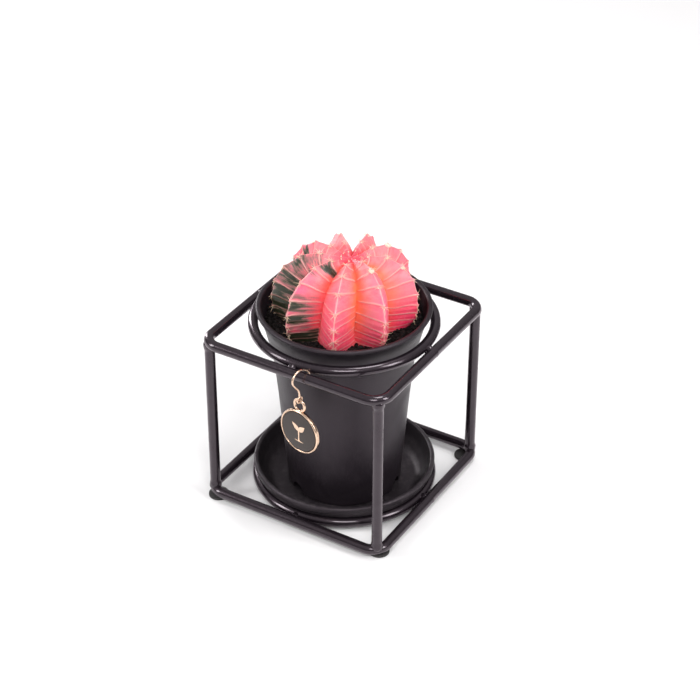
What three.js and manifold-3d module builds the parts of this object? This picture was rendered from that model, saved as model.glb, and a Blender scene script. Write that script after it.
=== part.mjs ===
// A potted moon cactus in a square stand of round rod, with a small charm on the front bar.
// Millimetres, +Z up. The front bar of the stand runs along X, on the -Y side.
// The origin is on the ground, under the centre of the object's bounding box.
import * as THREE from 'three';
import { mergeVertices } from 'three/addons/utils/BufferGeometryUtils.js';
import Module from 'manifold-3d';

// Driving dimensions
const GAP = 0.3;              // between pieces that rest on or are welded to each other
const ROD_R = 2.5;            // the stand's round steel rod
const ROD_SIDES = 8;          // of the faceted rod, whose flats lie at the rod's radius
const LOOP_HALF = 47.5;       // half the width of a square loop, to the rod's centre line
const LOOP_CORNER_R = 8;      // plan radius of a loop's corner, to the rod's centre line
const LOOP_SPACING = 84.6;    // between the centre planes of the two loops
const RING_TOP_R = 42.5;      // upper ring, to the rod's centre line
const RING_TOP_RISE = 1.9;    // the upper ring sits this much above its loop
const RING_LOW_R = 42.2;      // lower ring, to the rod's centre line
const BEAD = [2.6, 3.4, 1.8]; // half sizes of a weld bead: across, along and up
const WELD_R = 2.95;          // a post's end, thickened by its weld
const WELD_LENGTH = 1.6;
const WELD_TAPER = 3.5;
const FOOT_R = 5;
const FOOT_H = 1.4;
const FOOT_PLACES = {         // stuck on by hand near the corners
  front_left: [-43.7, -44.8], front_right: [44.4, -41.6], back_right: [42.8, 44.3], back_left: [-43.6, 43.4],
};
const SAUCER_DROP = 2.4;      // the saucer's floor lies this much below the lower loop's plane
const POT_RECESS = 1.5;       // the pot's floor stands this much above its foot ring
const POT_FLOOR = 1.6;        // thickness of the pot's floor
const RIM_RISE = 11.2;        // the pot's rim stands this much above the upper loop
const SOIL_DEPTH = 7.6;       // from the rim down to the soil
const RIB_REACH = 33.8;       // largest radius of a rib's crest
const CROWN_LEAN = [2.5, 1.5]; // the crown's middle lies this far off the pot's axis
const AREOLE_FIRST = 12;      // along a crest, from the middle of the crown
const AREOLE_STEP = 8.8;
const AREOLES_PER_RIB = 6;
const SPINE_LENGTH = [2.2, 3.5];
const SPINE_R = 0.34;
const TAG_X = 8;              // where the hook hangs on the front bar
const TAG_TURN = -10;         // degrees about the vertical
const HOOK_WIRE_R = 0.45;
const EYE_R = 1.5;            // the hook's eye, to the wire's centre line
const CHARM_R = 11.3;
const CHARM_THICK = 2;
const CHARM_LOOP_R = 3;       // the charm's loop, to the centre line
const CHARM_LOOP_WIRE_R = 0.65;
const SEED = 20;

// Heights that follow from them
const LOOP_LOW_Z = FOOT_H + GAP + ROD_R;
const LOOP_TOP_Z = LOOP_LOW_Z + LOOP_SPACING;
const RING_TOP_Z = LOOP_TOP_Z + RING_TOP_RISE;
const RIM_Z = LOOP_TOP_Z + RIM_RISE;
const SAUCER_FLOOR_Z = LOOP_LOW_Z - SAUCER_DROP;
const POT_BASE_Z = SAUCER_FLOOR_Z + GAP;
const POT_FLOOR_Z = POT_BASE_Z + POT_RECESS + POT_FLOOR;
const POST_XY = LOOP_HALF - LOOP_CORNER_R * (1 - Math.SQRT1_2);
const OVER_FLATS = 1 / Math.cos(Math.PI / ROD_SIDES);

const paint = { color: 0x1d1b1e, roughness: 0.38, metalness: 0.3 };
const materials = {
  rod: new THREE.MeshStandardMaterial(paint),
  foot: new THREE.MeshStandardMaterial({ color: 0x1a1819, roughness: 0.6, metalness: 0 }),
  pot: new THREE.MeshStandardMaterial({ color: 0x232124, roughness: 0.55, metalness: 0 }),
  soil: new THREE.MeshStandardMaterial({ color: 0x16110f, roughness: 0.95, metalness: 0 }),
  cactus: new THREE.MeshStandardMaterial({ color: 0xe8606a, roughness: 0.6, metalness: 0 }),
  gold: new THREE.MeshStandardMaterial({ color: 0xd6a878, roughness: 0.25, metalness: 1 }),
  enamel: new THREE.MeshStandardMaterial({ color: 0x2b292c, roughness: 0.3, metalness: 0 }),
};

const wasm = await Module();
wasm.setup();

// A small seeded generator, so that every build draws the same spines.
function randomFrom(seed) {
  let state = seed;
  return (low, high) => {
    state = (state * 1664525 + 1013904223) % 4294967296;
    return low + (high - low) * (state / 4294967296);
  };
}

// Shared vertices merged and flat triangles dropped, with the faces turned outward.
function closed(geometry) {
  const bare = geometry.clone();
  for (const name of Object.keys(bare.attributes)) {
    if (name !== 'position') bare.deleteAttribute(name);
  }
  const merged = mergeVertices(bare, 1e-4);
  const kept = [];
  const index = merged.index.array;
  for (let i = 0; i < index.length; i += 3) {
    const [a, b, c] = index.slice(i, i + 3);
    if (a !== b && b !== c && c !== a) kept.push([a, b, c]);
  }
  const corner = (i) => new THREE.Vector3().fromBufferAttribute(merged.attributes.position, i);
  const volume = kept.reduce((sum, [a, b, c]) => sum + corner(a).dot(corner(b).cross(corner(c))), 0);
  merged.setIndex(kept.flatMap(([a, b, c]) => (volume > 0 ? [a, b, c] : [a, c, b])));
  return merged;
}

function solid(geometry) {
  const whole = closed(geometry);
  const vertProperties = new Float32Array(whole.attributes.position.array);
  const triVerts = new Uint32Array(whole.index.array);
  return new wasm.Manifold(new wasm.Mesh({ numProp: 3, vertProperties, triVerts }));
}

function surface(manifold) {
  const { vertProperties, triVerts } = manifold.getMesh();
  const geometry = new THREE.BufferGeometry();
  geometry.setAttribute('position', new THREE.BufferAttribute(new Float32Array(vertProperties), 3));
  geometry.setIndex(new THREE.BufferAttribute(new Uint32Array(triVerts), 1));
  return geometry;
}

function piece(name, geometry, material) {
  const mesh = new THREE.Mesh(closed(geometry), material);
  mesh.name = name;
  return mesh;
}

// A profile of [radius, height] points turned about the vertical.
function turned(profile, segments) {
  const points = profile.map(([radius, height]) => new THREE.Vector2(radius, height));
  return new THREE.LatheGeometry(points, segments).rotateX(Math.PI / 2);
}

// Rings of points joined into one skin. A ring of one point closes an end.
function skin(rings, joinEnds) {
  const starts = [];
  const flat = [];
  for (const ring of rings) {
    starts.push(flat.length / 3);
    for (const point of ring) flat.push(point.x, point.y, point.z);
  }
  const faces = [];
  const last = joinEnds ? rings.length : rings.length - 1;
  for (let i = 0; i < last; i += 1) {
    const j = (i + 1) % rings.length;
    const count = Math.max(rings[i].length, rings[j].length);
    for (let k = 0; k < count; k += 1) {
      const next = (k + 1) % count;
      const a = starts[i] + (k % rings[i].length);
      const b = starts[i] + (next % rings[i].length);
      const c = starts[j] + (next % rings[j].length);
      const d = starts[j] + (k % rings[j].length);
      if (rings[i].length > 1) faces.push(a, b, c);
      if (rings[j].length > 1) faces.push(a, c, d);
    }
  }
  const geometry = new THREE.BufferGeometry();
  geometry.setAttribute('position', new THREE.Float32BufferAttribute(flat, 3));
  geometry.setIndex(faces);
  return geometry;
}

// Round rod along a flat closed line. A station is [x, y, outward angle].
function rodLoop(stations, radius, height) {
  const rings = stations.map(([x, y, outward]) => Array.from({ length: ROD_SIDES }, (_, k) => {
    const turn = (2 * Math.PI * (k + 0.5)) / ROD_SIDES;
    const reach = radius * OVER_FLATS * Math.cos(turn);
    const level = height + radius * OVER_FLATS * Math.sin(turn);
    return new THREE.Vector3(x + reach * Math.cos(outward), y + reach * Math.sin(outward), level);
  }));
  return skin(rings, true);
}

function squareLoop(radius, height) {
  const arcSteps = 4;
  const inner = LOOP_HALF - LOOP_CORNER_R;
  const stations = [];
  for (let corner = 0; corner < 4; corner += 1) {
    const middle = (corner + 0.5) * (Math.PI / 2);
    const centreX = inner * Math.sign(Math.cos(middle));
    const centreY = inner * Math.sign(Math.sin(middle));
    for (let step = 0; step <= arcSteps; step += 1) {
      const angle = (corner + step / arcSteps) * (Math.PI / 2);
      const x = centreX + LOOP_CORNER_R * Math.cos(angle);
      const y = centreY + LOOP_CORNER_R * Math.sin(angle);
      stations.push([x, y, angle]);
    }
  }
  return rodLoop(stations, radius, height);
}

const topLoopRoom = solid(squareLoop(ROD_R + GAP, LOOP_TOP_Z));
const lowLoopRoom = solid(squareLoop(ROD_R + GAP, LOOP_LOW_Z));

// Upright rod, a little wider at its welds. It is coped to the two loops afterwards, so it starts
// beside their centre planes.
function post() {
  const beside = 1.2;
  const low = LOOP_LOW_Z + beside;
  const top = LOOP_TOP_Z - beside;
  const taperEnd = WELD_LENGTH + WELD_TAPER;
  const profile = [[0, low], [WELD_R, low], [WELD_R, low + WELD_LENGTH], [ROD_R, low + taperEnd]];
  profile.push([ROD_R, top - taperEnd], [WELD_R, top - WELD_LENGTH], [WELD_R, top], [0, top]);
  const overFlats = profile.map(([radius, z]) => [radius * OVER_FLATS, z]);
  return turned(overFlats, ROD_SIDES).rotateZ(Math.PI / ROD_SIDES);
}

function copedPost(x, y) {
  const rod = solid(post().translate(x, y, 0));
  return surface(rod.subtract(topLoopRoom).subtract(lowLoopRoom));
}

// Round rod ring with a weld bead to the loop at the middle of each side.
function weldedRing(radius, height, loopHeight, loopRoom) {
  const steps = 40;
  const stations = Array.from({ length: steps }, (_, k) => {
    const angle = (2 * Math.PI * (k + 0.5)) / steps;
    return [radius * Math.cos(angle), radius * Math.sin(angle), angle];
  });
  let ring = solid(rodLoop(stations, ROD_R, height));
  for (let side = 0; side < 4; side += 1) {
    const bead = new THREE.SphereGeometry(1, 8, 4).rotateX(Math.PI / 2).scale(...BEAD);
    bead.translate((radius + LOOP_HALF) / 2, 0, (height + loopHeight) / 2);
    bead.rotateZ(side * (Math.PI / 2));
    ring = ring.add(solid(bead));
  }
  return surface(ring.subtract(loopRoom));
}

function foot() {
  const edge = 0.4;
  const profile = [[0, 0], [FOOT_R, 0], [FOOT_R, FOOT_H - edge], [FOOT_R - edge, FOOT_H], [0, FOOT_H]];
  return turned(profile, 18);
}

// Dished saucer. Its step rests on the lower ring and its floor hangs inside it.
function saucer() {
  const z = SAUCER_FLOOR_Z;
  const step = LOOP_LOW_Z + ROD_R + GAP;
  const rim = step + 6.1;
  const outside = [[0, z - 1.4], [33.6, z - 1.4], [36.4, z - 0.5], [38.6, z + 2.6]];
  outside.push([39.6, step - 1], [40.6, step - 0.4], [42.6, step + 0.1], [43.3, step + 2.7]);
  const lip = [[43.8, step + 3], [44, rim - 0.8], [43.3, rim], [41.9, rim - 0.2]];
  const inside = [[40.9, rim - 3], [39.7, rim - 6], [37.2, z + 1.9], [34.6, z], [0, z]];
  return turned([...outside, ...lip, ...inside], 40);
}

// The pot's inner wall, from the floor up to the lip.
function potInside() {
  const wall = [[25.2, POT_FLOOR_Z], [26.2, POT_FLOOR_Z + 2.2], [30, RIM_Z - 46.6], [33, RIM_Z - 20.6]];
  return [...wall, [34.3, RIM_Z - 17.4], [36.3, RIM_Z - 11.1], [37.6, RIM_Z - 5.6], [38.3, RIM_Z - 2.1]];
}

function potOutside() {
  const base = POT_BASE_Z;
  const recess = base + POT_RECESS;
  const foot = [[0, recess], [24.6, recess], [25.2, base], [26.9, base], [27.4, base + 0.6]];
  const wall = [[31.5, RIM_Z - 46.6], [34.4, RIM_Z - 18.4], [35.5, RIM_Z - 18], [35.9, RIM_Z - 16.4]];
  return [...foot, ...wall, [37.6, RIM_Z - 9.4], [39.2, RIM_Z - 4.8], [40.3, RIM_Z - 2]];
}

// Arched cutter for a drainage notch, pointing out along +X.
function notch() {
  const half = 4.5;
  const height = 5.4;
  const arch = new THREE.Shape();
  arch.moveTo(-half, -1);
  arch.lineTo(half, -1);
  arch.absellipse(0, 0, half, height, 0, Math.PI, false, 0);
  const cutter = new THREE.ExtrudeGeometry(arch, { depth: 12, bevelEnabled: false, curveSegments: 5 });
  return cutter.rotateY(Math.PI / 2).rotateX(Math.PI / 2).translate(20, 0, POT_BASE_Z);
}

const NOTCH_ANGLES = [-113.5, 6.5, 126.5];

function pot() {
  const lip = [[41, RIM_Z - 1.7], [41.25, RIM_Z - 1], [41, RIM_Z - 0.3], [40.2, RIM_Z], [39.2, RIM_Z - 0.1]];
  const inside = [[38.6, RIM_Z - 0.7], ...potInside().reverse(), [0, POT_FLOOR_Z]];
  let shell = solid(turned([...potOutside(), ...lip, ...inside], 40));
  for (const degrees of NOTCH_ANGLES) {
    shell = shell.subtract(solid(notch().rotateZ(THREE.MathUtils.degToRad(degrees))));
  }
  return surface(shell);
}

// The ribs in order round the plant. A crest is in degrees about the vertical and its reach is a
// share of the usual radius. The lifts are how much higher than usual the rib, and the furrow after
// it, stand over the shoulder.
const RIBS = [
  { crest: -150.6, reach: 0.965, lift: -0.6, furrowLift: -0.5 },
  { crest: -108.6, reach: 0.985, lift: 0.3, furrowLift: 0 },
  { crest: -66.9, reach: 1, lift: 0.4, furrowLift: 1.4 },
  { crest: -26.6, reach: 0.985, lift: 1, furrowLift: 1 },
  { crest: 18.4, reach: 0.985, lift: 0, furrowLift: 0 },
  { crest: 58.4, reach: 0.975, lift: -0.5, furrowLift: -1 },
  { crest: 96.4, reach: 0.97, lift: -0.7, furrowLift: -1.8 },
  { crest: 132.4, reach: 0.96, lift: -1, furrowLift: -1.5 },
  { crest: 171.4, reach: 0.935, lift: -0.8, furrowLift: -1 },
];

// Meridians of a crest and of a furrow as [radius, height above the rim], from the crown down to
// the tip of the root. Points of one place in the two lists belong together.
const CREST_LINE = [[0, 24.3], [4, 24.7], [9, 25.9], [14, 26.6], [19, 26.1], [23.2, 24.3], [27, 21.4],
  [30.2, 17.9], [32.4, 13.6], [RIB_REACH - 0.2, 8.3], [RIB_REACH, 3], [RIB_REACH - 0.8, -3],
  [31, -8], [27.6, -11.2], [15, -14.8], [8, -16.5], [5.5, -27], [0, -31]];
const FURROW_LINE = [[0, 24.3], [3.4, 23.7], [7.4, 22.8], [11.2, 21.8], [14.6, 20.3], [17.4, 18.2],
  [19.4, 15.5], [20.8, 12], [21.6, 8], [22, 3.6], [22.5, -1], [23.3, -5.2], [23.9, -8.8],
  [22.8, -11.6], [13.5, -14.9], [8, -16.6], [5.5, -27], [0, -31]];
const BURIED_FROM = 13;       // the first point of the two lists that lies under the soil

const crestCurve = new THREE.SplineCurve(CREST_LINE.map(([r, z]) => new THREE.Vector2(r, RIM_Z + z)));
const furrowCurve = new THREE.SplineCurve(FURROW_LINE.map(([r, z]) => new THREE.Vector2(r, RIM_Z + z)));
const LENGTH_STEPS = 12;
const crestLengths = crestCurve.getLengths(LENGTH_STEPS * (CREST_LINE.length - 1));
const crestLength = crestLengths.at(-1);

// Form of the ribs over the two meridians. Distances run down the crest from the crown's middle.
const CROWN_EDGE = 3.4;       // the first row of the skin
const FLANK_POWER = 1.06;     // 1 makes a rib a plain wedge, and more makes it rounder
const RELIEF_END = 58;        // the relief fades out before here, over RELIEF_FADE
const RELIEF_FADE = 14;
const LEAN_END = 55;          // from here down the body stands on the pot's axis
const SHOULDER_END = 44;      // the lifts act down to here
const RIDGE_HEIGHT = 0.4;     // of a cross ridge
const GROOVE_DEPTH = 0.15;    // between two cross ridges
const SWELLING = 0.6;         // height of the swelling under an areole
const SWELLING_REACH = 1.7;
const AREOLE_DRIFT = 1.2;     // a rib's areoles lie up to this much higher or lower

// A point of the meridian at one distance along the crest. Height 1 is the crest, 0 the furrow.
function meridian(distance, rise) {
  const share = THREE.MathUtils.clamp(distance / crestLength, 0, 1);
  const t = crestCurve.getUtoTmapping(share);
  return furrowCurve.getPoint(t).lerp(crestCurve.getPoint(t), rise);
}

function meridianOutward(distance, rise) {
  const along = meridian(distance + 0.6, rise).sub(meridian(distance - 0.6, rise)).normalize();
  return new THREE.Vector2(-along.y, along.x);
}

// The body's skin at a rib, with its cross ridges and the swelling under each areole.
function bodyPoint(rib, across, distance, ridge) {
  const rise = 1 - Math.abs(across) ** FLANK_POWER;
  const aboveSoil = THREE.MathUtils.smoothstep(RELIEF_END - distance, 0, RELIEF_FADE);
  const shifted = distance + rib.shift * rise * aboveSoil;
  const point = meridian(shifted, rise);
  const nearest = Math.round((distance - AREOLE_FIRST) / AREOLE_STEP);
  const away = (distance - AREOLE_FIRST - nearest * AREOLE_STEP) / SWELLING_REACH;
  const swelling = nearest >= 0 ? SWELLING * Math.exp(-away * away) * rise ** 3 : 0;
  point.addScaledVector(meridianOutward(shifted, rise), (ridge + swelling) * aboveSoil);
  const furrowLift = across < 0 ? rib.furrowBefore : rib.furrowLift;
  const shoulder = Math.sin(Math.PI * THREE.MathUtils.clamp(distance / SHOULDER_END, 0, 1));
  point.y += shoulder * THREE.MathUtils.lerp(furrowLift, rib.lift, rise);
  point.x *= THREE.MathUtils.lerp(1, rib.reach, rise * aboveSoil);
  return point;
}

// Each rib with its neighbours' edges, and a small shift of its areoles along the crest.
function placedRibs(random) {
  return RIBS.map((rib, i) => {
    const before = RIBS.at(i - 1);
    const after = RIBS[(i + 1) % RIBS.length];
    const left = (rib.crest + before.crest - (i === 0 ? 360 : 0)) / 2;
    const right = (rib.crest + after.crest + (i === RIBS.length - 1 ? 360 : 0)) / 2;
    const shift = random(-AREOLE_DRIFT, AREOLE_DRIFT);
    return { ...rib, left, right, furrowBefore: before.furrowLift, shift };
  });
}

function ribAngle(rib, across) {
  const edge = across < 0 ? rib.left : rib.right;
  return THREE.MathUtils.degToRad(rib.crest + Math.abs(across) * (edge - rib.crest));
}

// A point of a meridian in space. The crown leans over and the rest stands on the pot's axis.
function spatial(point, angle, distance) {
  const lean = 1 - THREE.MathUtils.smoothstep(distance, 0, LEAN_END);
  const x = point.x * Math.cos(angle) + lean * CROWN_LEAN[0];
  const y = point.x * Math.sin(angle) + lean * CROWN_LEAN[1];
  return new THREE.Vector3(x, y, point.y);
}

// Rows down the body: each cross ridge lies between two shallow grooves.
function bodyRows() {
  const ridgeStep = AREOLE_STEP / 2;
  const soilLevel = crestLengths[LENGTH_STEPS * (BURIED_FROM - 1)];
  const rows = [{ distance: CROWN_EDGE, ridge: 0 }];
  for (let at = AREOLE_FIRST - ridgeStep; at < soilLevel; at += ridgeStep) {
    rows.push({ distance: at, ridge: RIDGE_HEIGHT });
    rows.push({ distance: at + ridgeStep / 2, ridge: -GROOVE_DEPTH });
  }
  for (let point = BURIED_FROM; point < CREST_LINE.length - 1; point += 1) {
    rows.push({ distance: crestLengths[LENGTH_STEPS * point], ridge: 0 });
  }
  return rows;
}

const crownMiddle = spatial(new THREE.Vector2(0, RIM_Z + CREST_LINE[0][1]), 0, 0);

function cactusBody(ribs) {
  const columns = [-1, -0.66, -0.3, 0, 0.3, 0.66];
  const ring = ({ distance, ridge }) => ribs.flatMap((rib) => columns.map((across) => (
    spatial(bodyPoint(rib, across, distance, ridge), ribAngle(rib, across), distance)
  )));
  const rootTip = new THREE.Vector3(0, 0, RIM_Z + CREST_LINE.at(-1)[1]);
  return skin([[crownMiddle], ...bodyRows().map(ring), [rootTip]], false);
}

// Frame of directions on a crest: out of the body, sideways and down along the rib.
function crestFrame(rib, distance) {
  const angle = ribAngle(rib, 0);
  const side = new THREE.Vector3(-Math.sin(angle), Math.cos(angle), 0);
  const place = (along) => spatial(bodyPoint(rib, 0, along, RIDGE_HEIGHT), angle, along);
  const ahead = place(distance + AREOLE_STEP / 2).sub(place(distance - AREOLE_STEP / 2)).normalize();
  const out = new THREE.Vector3().crossVectors(ahead, side).normalize();
  return { at: place(distance), out, side, down: ahead };
}

function circleAt(centre, axisA, axisB, radius, sides) {
  return Array.from({ length: sides }, (_, k) => {
    const turn = (2 * Math.PI * k) / sides;
    const offset = axisA.clone().multiplyScalar(radius * Math.cos(turn));
    return offset.addScaledVector(axisB, radius * Math.sin(turn)).add(centre);
  });
}

const PAD_ROOT = 1;           // a cushion is sunk this deep
const PAD_DOME = 0.62;        // its height, as a share of its radius
const CROWN_PAD_R = 2.1;
const CROWN_SPINES = 6;

// Woolly cushion of an areole, sunk into the crest.
function areolePad({ at, out, side, down }, radius) {
  const level = (height) => at.clone().addScaledVector(out, height);
  const edge = circleAt(level(0.1), side, down, radius, 5);
  return skin([[level(-PAD_ROOT)], edge, [level(radius * PAD_DOME)]], false);
}

// Three-sided spine from inside the cushion to its tip.
function spine(start, direction, out, length) {
  const side = new THREE.Vector3().crossVectors(direction, out).normalize();
  const up = new THREE.Vector3().crossVectors(side, direction).normalize();
  const root = start.clone().addScaledVector(direction, -0.25);
  const tip = start.clone().addScaledVector(direction, length);
  return skin([[root], circleAt(start, side, up, SPINE_R, 3), [tip]], false);
}

const SPINE_FAN = [-112, -38, 38, 112];

// Spines spread round an areole, measured from straight down the rib.
function areoleSpines(frame, random) {
  return SPINE_FAN.map((degrees) => {
    const turn = THREE.MathUtils.degToRad(degrees + random(-12, 12));
    const tilt = THREE.MathUtils.degToRad(random(22, 42));
    const along = frame.down.clone().multiplyScalar(Math.cos(turn));
    const flat = along.addScaledVector(frame.side, Math.sin(turn));
    const direction = flat.multiplyScalar(Math.cos(tilt)).addScaledVector(frame.out, Math.sin(tilt));
    const start = frame.at.clone().addScaledVector(frame.out, 0.1);
    return spine(start, direction, frame.out, random(...SPINE_LENGTH));
  });
}

// Cushion in the middle of the crown, with its young upright spines.
function crown(random) {
  const out = new THREE.Vector3(0, 0, 1);
  const side = new THREE.Vector3(1, 0, 0);
  const down = new THREE.Vector3(0, 1, 0);
  const pieces = [areolePad({ at: crownMiddle, out, side, down }, CROWN_PAD_R)];
  for (let k = 0; k < CROWN_SPINES; k += 1) {
    const turn = (2 * Math.PI * (k + random(-0.2, 0.2))) / CROWN_SPINES;
    const flat = new THREE.Vector3(Math.cos(turn), Math.sin(turn), 0);
    const direction = flat.clone().multiplyScalar(0.62).addScaledVector(out, 0.78);
    const start = crownMiddle.clone().addScaledVector(flat, 0.9).addScaledVector(out, 0.1);
    pieces.push(spine(start, direction, out, random(...SPINE_LENGTH)));
  }
  return pieces;
}

// The whole plant as one body.
function cactus() {
  const random = randomFrom(SEED);
  const ribs = placedRibs(random);
  const parts = [cactusBody(ribs), ...crown(random)];
  for (const rib of ribs) {
    for (let k = 0; k < AREOLES_PER_RIB; k += 1) {
      const frame = crestFrame(rib, AREOLE_FIRST + k * AREOLE_STEP);
      parts.push(areolePad(frame, random(0.95, 1.25)), ...areoleSpines(frame, random));
    }
  }
  return surface(wasm.Manifold.union(parts.map(solid)));
}

// Potting soil up to just under the rim, uneven on top, with a plain hole for the plant.
function soil() {
  const top = RIM_Z - SOIL_DEPTH;
  const wall = potInside().filter(([, z]) => z < top - 1).map(([r, z]) => [r - GAP, z]);
  wall[0] = [wall[0][0], wall[0][1] + GAP];
  const bottom = [[0, wall[0][1]]];
  const crust = [[36.5, top - 0.5], [35.2, top], [33.6, top]];
  const aside = 0.7;
  const below = 0.6;
  const hole = CREST_LINE.slice(BURIED_FROM).map(([r, z]) => [r > 0 ? r + aside : 0, RIM_Z + z - below]);
  const geometry = turned([...bottom, ...wall, ...crust, ...hole], 36);
  const random = randomFrom(SEED);
  const whole = closed(geometry);
  const place = whole.attributes.position;
  for (let i = 0; i < place.count; i += 1) {
    if (place.getZ(i) > top - 0.2) place.setZ(i, place.getZ(i) + random(-0.45, 0.5));
  }
  return whole;
}

// Hook in the plane across the bar, drawn as [outward, up] from the bar's centre.
const HOOK_LINE = [[-2.6, -3.6], [-3.2, -1.6], [-3.2, 0.8], [-2, 2.9], [0.2, 4.5], [2.7, 5.4],
  [5.4, 4.9], [7.4, 3], [7.7, 0.7], [6.3, -1.8], [4.4, -4.2], [3.5, -6.4], [3.3, -8.7]];
const EYE_OUT = 3.3;
const EYE_UP = HOOK_LINE.at(-1)[1] - EYE_R;

function tagHook() {
  const points = HOOK_LINE.map(([out, up]) => new THREE.Vector3(0, -out, up));
  const wire = new THREE.Shape().absarc(0, 0, HOOK_WIRE_R, 0, 2 * Math.PI, false);
  const extrudePath = new THREE.CatmullRomCurve3(points);
  const bent = new THREE.ExtrudeGeometry(wire, { steps: 30, curveSegments: 3, extrudePath });
  const eye = new THREE.TorusGeometry(EYE_R, HOOK_WIRE_R, 6, 16).rotateY(Math.PI / 2);
  eye.translate(0, -EYE_OUT, EYE_UP);
  return surface(solid(bent).add(solid(eye)));
}

const CHARM_UP = EYE_UP - 2 * CHARM_LOOP_R - CHARM_R;
const POCKET_R = CHARM_R - 1.1;
const POCKET_Y = -0.1;        // the pocket's floor, from the disc's middle plane

// Cast disc with a raised rim round a shallow pocket, and a closed loop at its top.
function tagCharm() {
  const half = CHARM_THICK / 2;
  const back = [[0, half], [CHARM_R - 0.4, half], [CHARM_R, half - 0.4], [CHARM_R, 0.4 - half]];
  const front = [[CHARM_R - 0.4, -half], [POCKET_R + 0.2, -half], [POCKET_R, 0.2 - half]];
  const profile = [...back, ...front, [POCKET_R, POCKET_Y], [0, POCKET_Y]];
  const disc = new THREE.LatheGeometry(profile.map(([r, y]) => new THREE.Vector2(r, y)), 36);
  disc.translate(0, -EYE_OUT, CHARM_UP);
  const loop = new THREE.TorusGeometry(CHARM_LOOP_R, CHARM_LOOP_WIRE_R, 6, 18);
  loop.rotateX(Math.PI / 2).translate(0, -EYE_OUT, EYE_UP - CHARM_LOOP_R);
  return surface(solid(disc).add(solid(loop)));
}

// Hard enamel lying in the pocket, a hair under the rim.
function tagEnamel() {
  const low = POCKET_Y - GAP;
  const high = 0.1 - CHARM_THICK / 2;
  const profile = [[0, low], [POCKET_R - GAP, low], [POCKET_R - GAP, high], [0, high]];
  const fill = new THREE.LatheGeometry(profile.map(([r, y]) => new THREE.Vector2(r, y)), 36);
  return fill.translate(0, -EYE_OUT, CHARM_UP);
}

function stand() {
  const group = new THREE.Group();
  group.add(piece('frame_loop_top', squareLoop(ROD_R, LOOP_TOP_Z), materials.rod));
  group.add(piece('frame_loop_low', squareLoop(ROD_R, LOOP_LOW_Z), materials.rod));
  const topRing = weldedRing(RING_TOP_R, RING_TOP_Z, LOOP_TOP_Z, topLoopRoom);
  const lowRing = weldedRing(RING_LOW_R, LOOP_LOW_Z, LOOP_LOW_Z, lowLoopRoom);
  group.add(piece('frame_ring_top', topRing, materials.rod));
  group.add(piece('frame_ring_low', lowRing, materials.rod));
  for (const [corner, [footX, footY]] of Object.entries(FOOT_PLACES)) {
    const rod = copedPost(Math.sign(footX) * POST_XY, Math.sign(footY) * POST_XY);
    group.add(piece(`frame_post_${corner}`, rod, materials.rod));
    group.add(piece(`foot_${corner}`, foot().translate(footX, footY, 0), materials.foot));
  }
  return group;
}

function tag() {
  const group = new THREE.Group();
  group.add(piece('tag_hook', tagHook(), materials.gold));
  group.add(piece('tag_charm', tagCharm(), materials.gold));
  group.add(piece('tag_enamel', tagEnamel(), materials.enamel));
  group.position.set(TAG_X, -LOOP_HALF, LOOP_TOP_Z);
  group.rotation.z = THREE.MathUtils.degToRad(TAG_TURN);
  return group;
}

const group = new THREE.Group();
group.add(stand());
group.add(piece('saucer', saucer(), materials.pot));
group.add(piece('pot', pot(), materials.pot));
group.add(piece('soil', soil(), materials.soil));
group.add(piece('cactus', cactus(), materials.cactus));
group.add(tag());

// The hook stands out in front, so the whole is moved back over the origin.
const span = new THREE.Box3().setFromObject(group);
group.position.y = -(span.min.y + span.max.y) / 2;

export default group;
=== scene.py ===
"""Potted moon cactus in a square stand of round rod, with a small charm on the front bar."""
from math import cos, pi, radians, sin

import bmesh
import bpy
import numpy as np
from mathutils import Matrix, Vector


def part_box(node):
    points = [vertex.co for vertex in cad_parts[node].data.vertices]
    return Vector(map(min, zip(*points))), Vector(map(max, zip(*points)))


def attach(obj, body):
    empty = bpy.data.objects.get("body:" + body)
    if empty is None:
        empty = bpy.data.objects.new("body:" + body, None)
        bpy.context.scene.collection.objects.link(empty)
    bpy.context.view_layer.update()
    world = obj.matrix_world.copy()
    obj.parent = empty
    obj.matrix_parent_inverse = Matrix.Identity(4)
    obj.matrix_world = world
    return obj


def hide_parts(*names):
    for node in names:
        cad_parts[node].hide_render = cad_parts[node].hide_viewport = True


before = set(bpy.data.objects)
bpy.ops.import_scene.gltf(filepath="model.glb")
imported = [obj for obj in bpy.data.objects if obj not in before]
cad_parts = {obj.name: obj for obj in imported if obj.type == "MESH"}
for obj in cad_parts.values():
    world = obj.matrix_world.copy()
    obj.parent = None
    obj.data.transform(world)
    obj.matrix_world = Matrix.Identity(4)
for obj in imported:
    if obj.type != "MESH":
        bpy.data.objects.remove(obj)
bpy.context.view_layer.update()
scene = bpy.context.scene

# Camera: a long lens looking down over the front right corner, at the photograph's angle. It aims
# at the pot's axis, a little below the upper loop, with a slight shift of the picture. Lengths are
# in millimetres, apart from those of the materials, the lamps and the floor, in metres.
MM = 0.001
PHOTO_WIDTH = 700
FOCAL_PIXELS = 2000
SENSOR = 36
CAMERA_AZIMUTH = radians(31.4)
CAMERA_ELEVATION = radians(33.9)
CAMERA_DISTANCE = 940.89
AIM_HEIGHT = 73.85
OFF_CENTRE_PIXELS = 5.72

pot_low, pot_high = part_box("pot")
AXIS_Y = (pot_low.y + pot_high.y) / 2 / MM

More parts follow.
